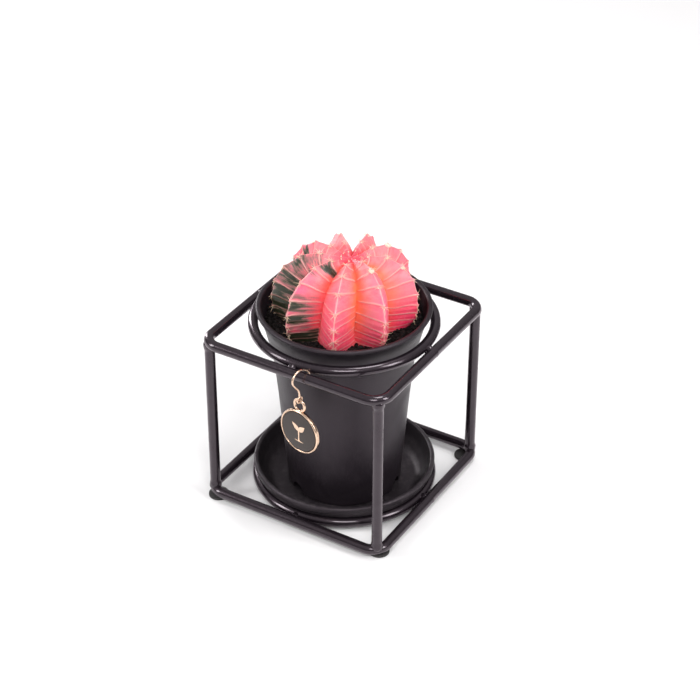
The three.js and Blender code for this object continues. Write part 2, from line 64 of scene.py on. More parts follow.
camera = bpy.data.objects.new("camera", bpy.data.cameras.new("camera"))
scene.collection.objects.link(camera)
scene.camera = camera
camera.data.sensor_width = SENSOR
camera.data.lens = FOCAL_PIXELS / PHOTO_WIDTH * SENSOR
camera.data.shift_x = OFF_CENTRE_PIXELS / PHOTO_WIDTH
towards_camera = Vector((sin(CAMERA_AZIMUTH) * cos(CAMERA_ELEVATION),
                         -cos(CAMERA_AZIMUTH) * cos(CAMERA_ELEVATION), sin(CAMERA_ELEVATION)))
aim = Vector((0, AXIS_Y, AIM_HEIGHT)) * MM
camera.location = aim + towards_camera * CAMERA_DISTANCE * MM
camera.rotation_euler = towards_camera.to_track_quat("Z", "Y").to_euler()

# The two square loops of the stand: 5 mm round steel rod, each bent from one length with four
# rounded corners, welded shut and powder coated satin black.
ROD_R = 2.5
ROD_SIDES = 32
LOOP_HALF = 47.5
LOOP_CORNER_R = 8
CORNER_STEPS = 20
CREASE = 40
# The raised seam of a loop's butt weld: places along its right side, and the rod's radius there.
SEAM = ((-0.5, 2.5), (0, 2.6), (0.4, 2.66), (0.8, 2.6), (1.3, 2.5))
ROD_BLACK = (0.0085, 0.0065, 0.0085, 1)
ROD_DUST = (0.09, 0.078, 0.082, 1)
COATED_SHEEN = (1.0, 0.85, 0.95, 1)

LOOP_LOW_Z, LOOP_TOP_Z = (sum(corner.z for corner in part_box(f"frame_loop_{level}")) / 2 / MM
                          for level in ("low", "top"))


def feed(tree, fed, inputs):
    """Set a node's inputs to values, or join them to the sockets of other nodes."""
    for name, value in inputs.items():
        if isinstance(value, bpy.types.NodeSocket):
            tree.links.new(value, fed.inputs[name])
        else:
            fed.inputs[name].default_value = value


def node(tree, kind, inputs, **settings):
    """A shader node with its settings and inputs."""
    made = tree.nodes.new(kind)
    for name, value in settings.items():
        setattr(made, name, value)
    feed(tree, made, inputs)
    return made


def spread(tree, value, low, high, to_low=0.0, to_high=1.0):
    """The value's range low to high, stretched smoothly to another range."""
    inputs = {"Value": value, "From Min": low, "From Max": high, "To Min": to_low,
              "To Max": to_high}
    made = node(tree, "ShaderNodeMapRange", inputs, interpolation_type="SMOOTHSTEP")
    return made.outputs["Result"]


def times(tree, first, second):
    """Two values multiplied."""
    return node(tree, "ShaderNodeMath", {0: first, 1: second}, operation="MULTIPLY").outputs[0]


def noise(tree, scale, detail, **more):
    """Noise over the object's own space, or over another Vector. Scale is in waves per metre."""
    if "Vector" not in more:
        more["Vector"] = node(tree, "ShaderNodeTexCoord", {}).outputs["Object"]
    inputs = {"Scale": scale, "Detail": detail, **more}
    return node(tree, "ShaderNodeTexNoise", inputs).outputs["Fac"]


def blended(tree, share, first, second):
    """Two colours mixed by a share. The colours of a mix node are its inputs 6 and 7."""
    made = node(tree, "ShaderNodeMix", {0: share, 6: first, 7: second}, data_type="RGBA")
    return made.outputs[2]


def effect(name, inputs, output, kind="NodeSocketFloat"):
    """An empty shader node group with named sockets: its tree, its inputs and its end."""
    group = bpy.data.node_groups.new(name, "ShaderNodeTree")
    for label, value in inputs.items():
        socket = group.interface.new_socket(label, in_out="INPUT", socket_type="NodeSocketFloat")
        socket.default_value = value
    group.interface.new_socket(output, in_out="OUTPUT", socket_type=kind)
    return group, group.nodes.new("NodeGroupInput").outputs, group.nodes.new("NodeGroupOutput")


# Fine relief: the grain or peel of a surface, as a normal. Depth is in metres.
fine_relief, given, end = effect("fine_relief", {"Scale": 900.0, "Depth": 0.00005}, "Normal",
                                 "NodeSocketVector")
grain = noise(fine_relief, given["Scale"], 3.0, Roughness=0.55)
bump = node(fine_relief, "ShaderNodeBump", {"Strength": 1.0, "Distance": given["Depth"],
                                            "Height": grain})
feed(fine_relief, end, {"Normal": bump.outputs["Normal"]})

# Settled dust: a mask of what lies on surfaces that face up, in uneven patches.
settled_dust, given, end = effect("settled_dust", {"Scale": 160.0, "Amount": 0.3}, "Mask")
patches = noise(settled_dust, given["Scale"], 6.0, Roughness=0.65)
facing = node(settled_dust, "ShaderNodeNewGeometry", {}).outputs["Normal"]
upward = node(settled_dust, "ShaderNodeSeparateXYZ", {"Vector": facing}).outputs["Z"]
lying = times(settled_dust, spread(settled_dust, upward, 0.1, 0.95),
              spread(settled_dust, patches, 0.42, 0.72))
feed(settled_dust, end, {"Mask": times(settled_dust, lying, given["Amount"])})

# Rubbed marks: a mask of fine streaks and soft smears where a surface has been handled.
rubbed_marks, given, end = effect("rubbed_marks", {"Scale": 60.0, "Amount": 1.0}, "Mask")
place = node(rubbed_marks, "ShaderNodeTexCoord", {}).outputs["Object"]
drawn_out = node(rubbed_marks, "ShaderNodeMapping", {"Vector": place, "Scale": (14, 14, 1.3)})
smears = noise(rubbed_marks, given["Scale"], 5.0, Roughness=0.6, Distortion=0.6)
streaks = noise(rubbed_marks, given["Scale"], 4.0, Vector=drawn_out.outputs["Vector"])
both = node(rubbed_marks, "ShaderNodeMath",
            {0: spread(rubbed_marks, smears, 0.35, 0.7, 0.0, 0.7),
             1: spread(rubbed_marks, streaks, 0.55, 0.8, 0.0, 0.3)}, operation="ADD")
feed(rubbed_marks, end, {"Mask": times(rubbed_marks, both.outputs[0], given["Amount"])})


def mask_from(tree, group, scale, amount=1.0):
    """The mask of dust or marks in a material."""
    inputs = {"Scale": scale, "Amount": amount}
    return node(tree, "ShaderNodeGroup", inputs, node_tree=group).outputs["Mask"]


def relief_from(tree, scale, depth):
    """The normal of the fine relief in a material."""
    inputs = {"Scale": scale, "Depth": depth}
    return node(tree, "ShaderNodeGroup", inputs, node_tree=fine_relief).outputs["Normal"]


def finish_of(name, inputs):
    """A material, its node tree and its shader, with the values that are the same all over."""
    material = bpy.data.materials.new(name)
    material.use_nodes = True
    shader = material.node_tree.nodes["Principled BSDF"]
    feed(material.node_tree, shader, inputs)
    return material, material.node_tree, shader


rod_coat, tree, shader = finish_of("rod_coat", {
    "Specular IOR Level": 0.45, "Specular Tint": COATED_SHEEN, "Coat Roughness": 0.06,
    "Coat Tint": COATED_SHEEN})
dust = mask_from(tree, settled_dust, 210.0, 0.08)
marks = mask_from(tree, rubbed_marks, 90.0)
feed(tree, shader, {"Base Color": blended(tree, dust, ROD_BLACK, ROD_DUST),
                    "Roughness": spread(tree, marks, 0.0, 1.0, 0.22, 0.29),
                    "Coat Weight": spread(tree, marks, 0.0, 1.0, 0.62, 0.45),
                    "Normal": relief_from(tree, 620.0, 0.000035)})


def grid_faces(rows, columns, rows_wrap=False):
    """Faces of a grid of points whose columns close on themselves."""
    last = rows if rows_wrap else rows - 1
    row = np.arange(last)[:, None]
    column = np.arange(columns)[None, :]
    after = (column + 1) % columns
    below = (row + 1) % rows
    corners = [row * columns + column, row * columns + after, below * columns + after,
               below * columns + column]
    return np.stack(corners, -1).reshape(-1, 4).tolist()


def capped_faces(rows, columns):
    """Faces of such a grid, with its first and last rows closed too."""
    return [*grid_faces(rows, columns), list(range(columns)),
            list(range((rows - 1) * columns, rows * columns))]


def all_round(count):
    """Angles spaced evenly round a full turn."""
    return 2 * pi * np.arange(count) / count


def swept(path, radii, sides, closed=False):
    """Round rod along a path, as points and faces. An open rod is capped at both ends."""
    path = np.asarray(path, float)
    ahead = np.roll(path, -1, 0) - np.roll(path, 1, 0) if closed else np.gradient(path, axis=0)
    ahead /= np.linalg.norm(ahead, axis=1)[:, None]
    radii = np.broadcast_to(radii, len(path))
    upright = abs(ahead[0][2]) > 0.9
    side = np.cross(ahead[0], (1, 0, 0) if upright else (0, 0, 1))
    turns = all_round(sides)[:, None]
    rings = []
    for centre, along, radius in zip(path, ahead, radii):
        side = side - along * np.dot(side, along)
        side /= np.linalg.norm(side)
        up = np.cross(along, side)
        rings.append(centre + radius * (np.cos(turns) * side + np.sin(turns) * up))
    faces = grid_faces(len(path), sides, True) if closed else capped_faces(len(path), sides)
    return np.concatenate(rings), faces


def joined(parts):
    """Several lots of points and faces as one."""
    points = []
    faces = []
    for more, ring in parts:
        start = sum(len(lot) for lot in points)
        points.append(more)
        faces.extend([start + corner for corner in face] for face in ring)
    return np.concatenate(points), faces


def add_piece(name, points, faces, material, slot, replaced, body="holder", masks=None,
              crease=CREASE):
    """A closed mesh that rides on a body. Points are in millimetres from the pot's axis."""
    mesh = bpy.data.meshes.new(name)
    mesh.from_pydata(((np.asarray(points) + (0, AXIS_Y, 0)) * MM).tolist(), [], faces)
    for label, values in (masks or {}).items():
        mesh.attributes.new(label, "FLOAT", "POINT").data.foreach_set("value", np.ravel(values))
    work = bmesh.new()
    work.from_mesh(mesh)
    bmesh.ops.remove_doubles(work, verts=work.verts, dist=1e-7)
    bmesh.ops.recalc_face_normals(work, faces=work.faces)
    work.to_mesh(mesh)
    work.free()
    mesh.materials.append(material)
    mesh.shade_smooth()
    mesh.set_sharp_from_angle(angle=radians(crease))
    made = bpy.data.objects.new(name, mesh)
    scene.collection.objects.link(made)
    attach(made, body)
    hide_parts(*replaced)
    return made


def square_loop(height):
    """One loop, with its seam at the middle of the right side."""
    inner = LOOP_HALF - LOOP_CORNER_R
    path = []
    for corner in range(4):
        middle = (corner + 0.5) * pi / 2
        centre = np.array((np.sign(cos(middle)), np.sign(sin(middle)))) * inner
        for turn in np.linspace(corner, corner + 1, CORNER_STEPS + 1) * pi / 2:
            path.append((*(centre + LOOP_CORNER_R * np.array((cos(turn), sin(turn)))), height))
    radii = [ROD_R] * len(path) + [radius for _, radius in SEAM]
    path += [(LOOP_HALF, y, height) for y, _ in SEAM]
    return swept(path, radii, ROD_SIDES, closed=True)


for level, height in (("top", LOOP_TOP_Z), ("low", LOOP_LOW_Z)):
    add_piece(f"rod_loop_{level}", *square_loop(height), rod_coat, "frame_black",
              [f"frame_loop_{level}"])

# The two round rings that hold the pot and the saucer: the same rod, rolled round and welded to the
# loops from inside, with a short bead at the middle of each side.
RING_TOP_R = 42.5
RING_LOW_R = 42.2
RING_TOP_RISE = 1.9
RING_STEPS = 120
BEAD = (3.4, 2.1, 2.3)
BEAD_DETAIL = 4
BEAD_ROUGHNESS = 0.1
LUMP_WAVES = 5


def lump(random, size, detail, roughness):
    """Uneven ball with its half sizes and how often it is split, as points and faces."""
    work = bmesh.new()
    bmesh.ops.create_icosphere(work, subdivisions=detail, radius=1)
    points = np.array([v.co for v in work.verts])
    faces = [[v.index for v in face.verts] for face in work.faces]
    work.free()
    waves = random.normal(size=(LUMP_WAVES, 3)) * 2.2
    phases = random.uniform(0, 2 * pi, LUMP_WAVES)
    rise = np.sin(points @ waves.T + phases).sum(1) / LUMP_WAVES
    return points * (1 + roughness * rise)[:, None] * size, faces


def turned_about_axis(points, turn):
    """Points turned about the vertical."""
    matrix = np.array(((cos(turn), -sin(turn), 0), (sin(turn), cos(turn), 0), (0, 0, 1)))
    return points @ matrix.T


def welded_ring(radius, height, loop_height, seed):
    """A ring with its four beads, each of which lies between the ring and the loop."""
    random = np.random.default_rng(seed)
    turns = all_round(RING_STEPS)
    level = np.full(RING_STEPS, height)
    path = np.stack([radius * np.cos(turns), radius * np.sin(turns), level], -1)
    parts = [swept(path, ROD_R, ROD_SIDES, closed=True)]
    between = ((radius + LOOP_HALF) / 2, 0, (height + loop_height) / 2)
    for side in range(4):
        points, faces = lump(random, BEAD, BEAD_DETAIL, BEAD_ROUGHNESS)
        parts.append((turned_about_axis(points + between, side * pi / 2), faces))
    return joined(parts)


RING_TOP_Z = LOOP_TOP_Z + RING_TOP_RISE
add_piece("rod_ring_top", *welded_ring(RING_TOP_R, RING_TOP_Z, LOOP_TOP_Z, 3), rod_coat,
          "frame_black", ["frame_ring_top"])
add_piece("rod_ring_low", *welded_ring(RING_LOW_R, LOOP_LOW_Z, LOOP_LOW_Z, 4), rod_coat,
          "frame_black", ["frame_ring_low"])

# The four posts: straight lengths of the same rod, set under the bends of the upper loop and welded
# all round, so each end is thickened by its weld under the coat.
POST_XY = LOOP_HALF - LOOP_CORNER_R * (1 - cos(pi / 4))
WELD_R = 2.95
WELD_LENGTH = 1.6
WELD_TAPER = 3.5
WELD_DOME = 2.4
WELD_MIDDLE = 2.3
WELD_SHOULDER = 2.2
WELD_SPREAD = 1.5
WELD_ROWS = (-0.4, 6.4, 30)
POST_ROWS = (8, 20, 4)
CORNERS = {"front_left": (-1, -1), "front_right": (1, -1), "back_right": (1, 1),
           "back_left": (-1, 1)}


def ease(value, low, high):
    """0 below low, 1 above high and smooth between them."""
    share = np.clip((value - low) / (high - low), 0, 1)
    return share * share * (3 - 2 * share)


def weld_profile(depth):
    """Radius of a post at a depth below the loop's centre plane, domed over its end."""
    dome = np.sqrt(np.clip(1 - np.clip((WELD_LENGTH - depth) / WELD_DOME, 0, 1) ** 2, 0, 1))
    taper = 1 - ease(depth, WELD_SHOULDER, WELD_LENGTH + WELD_TAPER)
    return (ROD_R + (WELD_R - ROD_R) * taper) * dome


def post(x, y, random):
    """One post, with the uneven ripple of a weld at either end."""
    near = np.concatenate([np.linspace(*WELD_ROWS), np.linspace(*POST_ROWS)])
    levels = np.concatenate([LOOP_LOW_Z + near, LOOP_TOP_Z - near[::-1]])
    depths = np.minimum(levels - LOOP_LOW_Z, LOOP_TOP_Z - levels)
    path = np.stack([np.full_like(levels, x), np.full_like(levels, y), levels], -1)
    points, faces = swept(path, weld_profile(depths), ROD_SIDES)
    turn = np.arctan2(points[:, 1] - y, points[:, 0] - x)
    depth = np.repeat(depths, ROD_SIDES)
    ripple = 0.07 * np.sin(7 * turn + random.uniform(0, 6)) + 0.06 * np.sin(3 * turn + 2.1 * depth)
    weld = np.exp(-((depth - WELD_MIDDLE) / WELD_SPREAD) ** 2) * ripple
    points[:, 0] += weld * np.cos(turn)
    points[:, 1] += weld * np.sin(turn)
    return points, faces


random = np.random.default_rng(5)
for corner, (side_x, side_y) in CORNERS.items():
    add_piece(f"rod_post_{corner}", *post(side_x * POST_XY, side_y * POST_XY, random), rod_coat,
              "frame_black", [f"frame_post_{corner}"])

# The pads: round self-adhesive discs of dense black foam rubber under the lower loop, stuck on by
# hand a little off the corners.
PAD_EDGE = 0.45
PAD_SIDES = 56
FILLET_SHARE = 0.45
PAD_BLACK = (0.022, 0.02, 0.02, 1)
PAD_GREY = (0.06, 0.056, 0.055, 1)


def filleted(profile, radius, steps=5):
    """The profile with its corners rounded, each over a limited share of its shorter side."""
    points = [np.array(point, float) for point in profile]
    made = [points[0]]
    for before, corner, after in zip(points, points[1:], points[2:]):
        sides = [before - corner, after - corner]
        lengths = [np.linalg.norm(side) for side in sides]
        reach = min(radius, FILLET_SHARE * min(lengths))
        start, end = (corner + side / length * reach for side, length in zip(sides, lengths))
        for t in np.linspace(0, 1, steps):
            made.append((1 - t) ** 2 * start + 2 * t * (1 - t) * corner + t * t * end)
    return np.array([*made, points[-1]])


def turned(profile, segments):
    """A profile of radius and height turned about the vertical, as points and faces."""
    turns = all_round(segments)
    radius, height = np.asarray(profile).T
    across = [radius[:, None] * np.cos(turns), radius[:, None] * np.sin(turns)]
    points = np.stack([*across, np.broadcast_to(height[:, None], across[0].shape)], -1)
    return points.reshape(-1, 3), grid_faces(len(radius), segments)


pad_rubber, tree, shader = finish_of("pad_rubber", {"Roughness": 0.72})
cells = spread(tree, noise(tree, 1400.0, 4.0), 0.45, 0.75)
feed(tree, shader, {"Base Color": blended(tree, cells, PAD_BLACK, PAD_GREY),
                    "Normal": relief_from(tree, 2600.0, 0.00012)})

for corner in CORNERS:
    low, high = (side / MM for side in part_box(f"foot_{corner}"))
    pad_r = (high.x - low.x) / 2
    pad_h = high.z
    pad_line = filleted([(0, 0), (pad_r, 0), (pad_r, pad_h), (0, pad_h)], PAD_EDGE)
    points, faces = turned(pad_line, PAD_SIDES)
    middle = ((low.x + high.x) / 2, (low.y + high.y) / 2 - AXIS_Y, 0)
    add_piece(f"pad_{corner}", points + middle, faces, pad_rubber, "pad_black", [f"foot_{corner}"])

# The saucer: injection moulded polypropylene, satin black. Its stepped wall rests on the lower ring
# and its dished floor hangs inside it.
SAUCER_DROP = 2.4
RING_GAP = 0.3
SAUCER_RISE = 6.1
SAUCER_SIDES = 144
# The saucer's black is lighter than the pot's, as painted light on it.
SAUCER_BLACK_WITH_PAINTED_LIGHT = (0.017, 0.014, 0.0165, 1)
PLASTIC_WORN = (0.026, 0.021, 0.025, 1)
PLASTIC_DUST = (0.1, 0.088, 0.093, 1)
SAUCER_FLOOR_Z = LOOP_LOW_Z - SAUCER_DROP
SAUCER_STEP_Z = LOOP_LOW_Z + ROD_R + RING_GAP


def moulded_plastic(name, black, grain, roughness, dust_and_painted_light):
    """Satin moulded plastic with faint smears and dust; laid on thickly, the dust is also painted
    light.
    """
    material, tree, shader = finish_of(name, {"Specular IOR Level": 0.42,
                                              "Specular Tint": COATED_SHEEN})
    dust = mask_from(tree, settled_dust, 240.0, dust_and_painted_light)
    marks = mask_from(tree, rubbed_marks, 48.0)
    worn = blended(tree, spread(tree, marks, 0.2, 1.0, 0.0, 0.55), black, PLASTIC_WORN)
    feed(tree, shader, {
        "Base Color": blended(tree, dust, worn, PLASTIC_DUST),
        "Roughness": spread(tree, marks, 0.0, 1.0, roughness, roughness + 0.14),
        "Normal": relief_from(tree, grain, 0.00006)})
    return material


# Its up-facing dust is laid on thickly: partly dust, partly painted light on its floor.
saucer_plastic = moulded_plastic("saucer_plastic", SAUCER_BLACK_WITH_PAINTED_LIGHT, 2100.0, 0.42, 0.3)
step, rim, floor = SAUCER_STEP_Z, SAUCER_STEP_Z + SAUCER_RISE, SAUCER_FLOOR_Z
saucer_line = [(0, floor - 1.4), (33.6, floor - 1.4), (36.4, floor - 0.5), (38.6, floor + 2.6),
               (39.6, step - 1), (40.6, step - 0.4), (42.6, step + 0.1), (43.3, step + 2.7),
               (43.8, step + 3), (44, rim - 0.8), (43.3, rim), (41.9, rim - 0.2), (40.9, rim - 3),
               (39.7, rim - 6), (37.2, floor + 1.9), (34.6, floor), (0, floor)]
add_piece("saucer_dish", *turned(filleted(saucer_line, 1.2), SAUCER_SIDES), saucer_plastic,
          "saucer_black", ["saucer"])

# The pot: a thin-walled nursery pot, injection moulded in the same plastic, with a flared collar, a
# rolled lip and three drainage notches where the wall meets the foot ring.
RIM_Z = pot_high.z / MM
POT_BASE_Z = pot_low.z / MM
POT_RECESS = 1.5
POT_FLOOR = 1.6
NOTCH_DEGREES = (-113.5, 6.5, 126.5)
NOTCH_HALF = 4.5
NOTCH_HEIGHT = 5.4
NOTCH_REACH = (20, 32)
POT_SIDES = 160
POT_BLACK = (0.0125, 0.0095, 0.0125, 1)

POT_FLOOR_Z = POT_BASE_Z + POT_RECESS + POT_FLOOR
pot_outside = [(0, POT_BASE_Z + POT_RECESS), (24.6, POT_BASE_Z + POT_RECESS), (25.2, POT_BASE_Z),
               (26.9, POT_BASE_Z), (27.4, POT_BASE_Z + 0.6), (31.5, RIM_Z - 46.6),
               (34.4, RIM_Z - 18.4), (35.5, RIM_Z - 18), (35.9, RIM_Z - 16.4), (37.6, RIM_Z - 9.4),
               (39.2, RIM_Z - 4.8), (40.3, RIM_Z - 2)]
pot_lip = [(41, RIM_Z - 1.7), (41.25, RIM_Z - 1), (41, RIM_Z - 0.3), (40.2, RIM_Z),
           (39.2, RIM_Z - 0.1), (38.6, RIM_Z - 0.7)]
pot_inside = [(25.2, POT_FLOOR_Z), (26.2, POT_FLOOR_Z + 2.2), (30, RIM_Z - 46.6),
              (33, RIM_Z - 20.6), (34.3, RIM_Z - 17.4), (36.3, RIM_Z - 11.1), (37.6, RIM_Z - 5.6),
              (38.3, RIM_Z - 2.1)]
pot_line = [*pot_outside, *pot_lip, *pot_inside[::-1], (0, POT_FLOOR_Z)]


def notch_cutter(degrees):
    """Arched block that reaches through the wall, for one drainage notch."""
    arch = np.linspace(0, pi, 15)
    outline = [(NOTCH_HALF * cos(turn), NOTCH_HEIGHT * sin(turn)) for turn in arch]
    outline += [(-NOTCH_HALF, -1), (NOTCH_HALF, -1)]
    points = [(radius, y, POT_BASE_Z + z) for radius in NOTCH_REACH for y, z in outline]
    return turned_about_axis(np.array(points), radians(degrees)), capped_faces(2, len(outline))


pot_plastic = moulded_plastic("pot_plastic", POT_BLACK, 1900.0, 0.4, 0.1)
pot = add_piece("pot_shell", *turned(filleted(pot_line, 1.0), POT_SIDES), pot_plastic,
                "pot_black", ["pot"])
for number, degrees in enumerate(NOTCH_DEGREES):
    cutter = add_piece(f"notch_cutter_{number}", *notch_cutter(degrees), pot_plastic,
                       "pot_black", [])
    cut = pot.modifiers.new("notch", "BOOLEAN")
    cut.operation = "DIFFERENCE"
    cut.solver = "EXACT"
    cut.object = cutter
    bpy.context.view_layer.update()
    whole = pot.data
    notched = pot.evaluated_get(bpy.context.evaluated_depsgraph_get())
    pot.data = bpy.data.meshes.new_from_object(notched)
    pot.modifiers.clear()
    bpy.data.meshes.remove(whole)
    bpy.data.objects.remove(cutter)
pot.data.shade_smooth()
pot.data.set_sharp_from_angle(angle=radians(CREASE))

# The cactus: one living body, grown with deep ribs and no chlorophyll in most of its skin. Its
# meridians and rib angles are those of the frame's cactus; fine cross ridges are added here.
CREST_LINE = [(0, 24.3), (4, 24.7), (9, 25.9), (14, 26.6), (19, 26.1), (23.2, 24.3), (27, 21.4),
              (30.2, 17.9), (32.4, 13.6), (33.6, 8.3), (33.8, 3), (33, -3), (31, -8),
              (27.6, -11.2), (15, -14.8), (8, -16.5), (5.5, -27), (0, -31)]
FURROW_LINE = [(0, 24.3), (3.4, 23.7), (7.4, 22.8), (11.2, 21.8), (14.6, 20.3), (17.4, 18.2),
               (19.4, 15.5), (20.8, 12), (21.6, 8), (22, 3.6), (22.5, -1), (23.3, -5.2),
               (23.9, -8.8), (22.8, -11.6), (13.5, -14.9), (8, -16.6), (5.5, -27), (0, -31)]
# Each rib: its crest's angle, its reach, the lift of its shoulder and of the furrow after it, and
# how far its areoles are shifted down the crest.
RIBS = [(-150.6, 0.965, -0.6, -0.5, 2.6), (-108.6, 0.985, 0.3, 0, 0), (-66.9, 1, 0.4, 1.4, -0.2),
        (-26.6, 0.985, 1, 1, -0.8), (18.4, 0.985, 0, 0, -2.6), (58.4, 0.975, -0.5, -1, 0.5),
        (96.4, 0.97, -0.7, -1.8, 1), (132.4, 0.96, -1, -1.5, -0.6), (171.4, 0.935, -0.8, -1, 0.8)]
AREOLES = (11.5, 20.3, 29.2, 38, 45.6, 51.2, 55.2, 58.6)
AREOLE_END = 61
CROWN_LEAN = (2.5, 1.5)
RELIEF_END = 62
RELIEF_FADE = 9
LEAN_END = 55
SHOULDER_END = 44
CREST_ROUNDING = 0.035
FURROW_ROUNDING = 0.03
FURROW_FLOOR = 0.07
FLANK_POWER = 1.06
LINE_WIDTH = 0.44
LINE_HEIGHT = 0.5
LAST_LINE = 72
LOW_LINES_FROM = 36
LOW_LINE_GAP = 2.7
PILLOW = 0.85
AREOLE_SWELLING = 0.85
AREOLE_LONG = 1.9
AREOLE_WIDE = 0.2
FLANK_STEPS = 24
FINE_ROWS = (3, 63, 0.22)
LEVEL_ROUNDS = 5
NEARBY = 0.4
SOIL_Z = RIM_Z - 7.6
# How far down the flank a line ends in the furrow, by where it leaves the crest.
SLANT_FROM = (8, 12, 20, 29, 38, 45, 52, 60, 70)
SLANTS = (2.5, 2.5, 1.2, -1.3, -4.6, -6.3, -6, -4.5, -4)
SLANT_SHAPE = 0.7


def drawn_through(points, steps=40):
    """Smooth line through the points, with steps samples between two of them."""
    held = np.array([points[0], *points, points[-1]], float)
    t = np.arange(steps)[:, None] / steps
    spans = []
    for a, b, c, d in zip(held, held[1:], held[2:], held[3:]):
        leave = (c - a) / 2
        arrive = (d - b) / 2
        spans.append((2 * b - 2 * c + leave + arrive) * t ** 3
                     + (3 * c - 3 * b - 2 * leave - arrive) * t ** 2 + leave * t + b)
    return np.concatenate([*spans, held[-1:]])


crest_samples = drawn_through(CREST_LINE)
furrow_samples = drawn_through(FURROW_LINE)
crest_steps = np.linalg.norm(np.diff(crest_samples, axis=0), axis=1)
crest_lengths = np.concatenate([[0], np.cumsum(crest_steps)])


def meridian(along, rise):
    """Radius and height of the skin, some way down. Rise is 1 on a crest and 0 in a furrow."""
    crest = [np.interp(along, crest_lengths, crest_samples[:, axis]) for axis in (0, 1)]
    furrow = [np.interp(along, crest_lengths, furrow_samples[:, axis]) for axis in (0, 1)]
    return [low + (high - low) * rise for low, high in zip(furrow, crest)]


def flank_rise(out):
    """Rise of a flank, from 1 on the crest to 0 in the furrow, with both a little rounded."""
    rounded = np.hypot(out, CREST_ROUNDING) - CREST_ROUNDING
    rounded = rounded / (np.hypot(1, CREST_ROUNDING) - CREST_ROUNDING)
    return 1 - rounded ** FLANK_POWER + FURROW_ROUNDING * np.exp(-((1 - out) / FURROW_FLOOR) ** 2)


def rib_edges(rib):
    """Angles of the furrows before and after a rib."""
    before = RIBS[rib - 1][0] - (360 if rib == 0 else 0)
    after = RIBS[(rib + 1) % len(RIBS)][0] + (360 if rib == len(RIBS) - 1 else 0)
    return (RIBS[rib][0] + before) / 2, (RIBS[rib][0] + after) / 2


def skin_point(rib, across, along, relief):
    """Places on the skin. Across is -1 and 1 in the furrows before and after the rib."""
    crest_angle, reach, lift, lift_after, _ = RIBS[rib]
    lift_before = RIBS[rib - 1][3]
    rise = flank_rise(np.abs(across))
    free = 1 - ease(along, RELIEF_END - RELIEF_FADE, RELIEF_END)
    radius, height = meridian(along, rise)
    radius_on, height_on = meridian(along + NEARBY, rise)
    radius_back, height_back = meridian(along - NEARBY, rise)
    slope = np.hypot(radius_on - radius_back, height_on - height_back) + 1e-6
    radius = radius + relief * free * (height_back - height_on) / slope
    height = height + relief * free * (radius_on - radius_back) / slope
    furrow_lift = np.where(across < 0, lift_before, lift_after)
    shoulder = np.sin(pi * np.clip(along / SHOULDER_END, 0, 1))
    height = height + shoulder * (furrow_lift + (lift - furrow_lift) * rise)
    radius = radius * (1 + (reach - 1) * rise * free)
    edge_before, edge_after = rib_edges(rib)
    edge = np.where(across < 0, edge_before, edge_after)
    angle = np.radians(crest_angle + np.abs(across) * (edge - crest_angle))
    lean = 1 - ease(along, 0, LEAN_END)
    return np.stack([radius * np.cos(angle) + lean * CROWN_LEAN[0],
                     radius * np.sin(angle) + lean * CROWN_LEAN[1], RIM_Z + height], -1)


def areole_places(rib):
    """Distances of a rib's areoles down its crest."""
    return np.array(AREOLES) + RIBS[rib][4]


def slant(at, out):
    """How far a line that leaves the crest at a distance has run down the flank."""
    return np.interp(at, SLANT_FROM, SLANTS) * out ** SLANT_SHAPE


def cross_lines(rib, side, random):
    """One flank's raised lines: where they leave the crest, their strengths and their slants."""
    places = areole_places(rib)
    low = places[places > LOW_LINES_FROM]
    between = (low[1:] + low[:-1]) / 2
    under = np.arange(places[-1] + 2.6, LAST_LINE, LOW_LINE_GAP)
    at = np.concatenate([[places[0] - 4.4], places, between, under])
    strength = np.concatenate([[0.5], random.uniform(0.85, 1, len(places)),
                               random.uniform(0.05, 0.5, len(between)), np.full(len(under), 0.8)])
    own = random.uniform(-0.8, 0.8, len(at)) + 0.5 * side
    wave = random.uniform(-0.3, 0.3, len(at))
    order = np.argsort(at)
    return [values[order, None, None] for values in (at, strength, own, wave)]


def flank_relief(rib, across, along, random):
    """Fine relief of the skin, the mask of its pale lines and that of the painted shade under them.
    """
    found = []
    out = np.abs(across)
    for side in (-1, 1):
        at, strength, own, wave = cross_lines(rib, side, random)
        distance = along - (at + slant(at, out) + own * out + wave * np.sin(2 * pi * out))
        fade = 1 - 0.8 * ease(out, 0.8, 1.0) * (1 - ease(at, 38, 47))
        line = (np.exp(-(distance / LINE_WIDTH) ** 2) * strength * fade).max(0)
        main = strength > 0.5
        above = np.where((distance > 0) & main, distance, 99).min(0)
        below = np.where((distance < 0) & main, -distance, 99).min(0)
        share = above / (above + below)
        swell = 0.45 * np.sin(pi * share) + 0.55 * share
        swell = np.where((above < 20) & (below < 20), swell, 0.4)
        calm = 1 - 0.6 * ease(out, 0.75, 1.0)
        # The third mask is painted shade just under each main line, fading down the band below it.
        found.append((PILLOW * swell * calm + LINE_HEIGHT * line, line,
                      np.exp(-above / 0.8) * fade[-1]))
    return [np.where(across < 0, before, after) for before, after in zip(*found)]


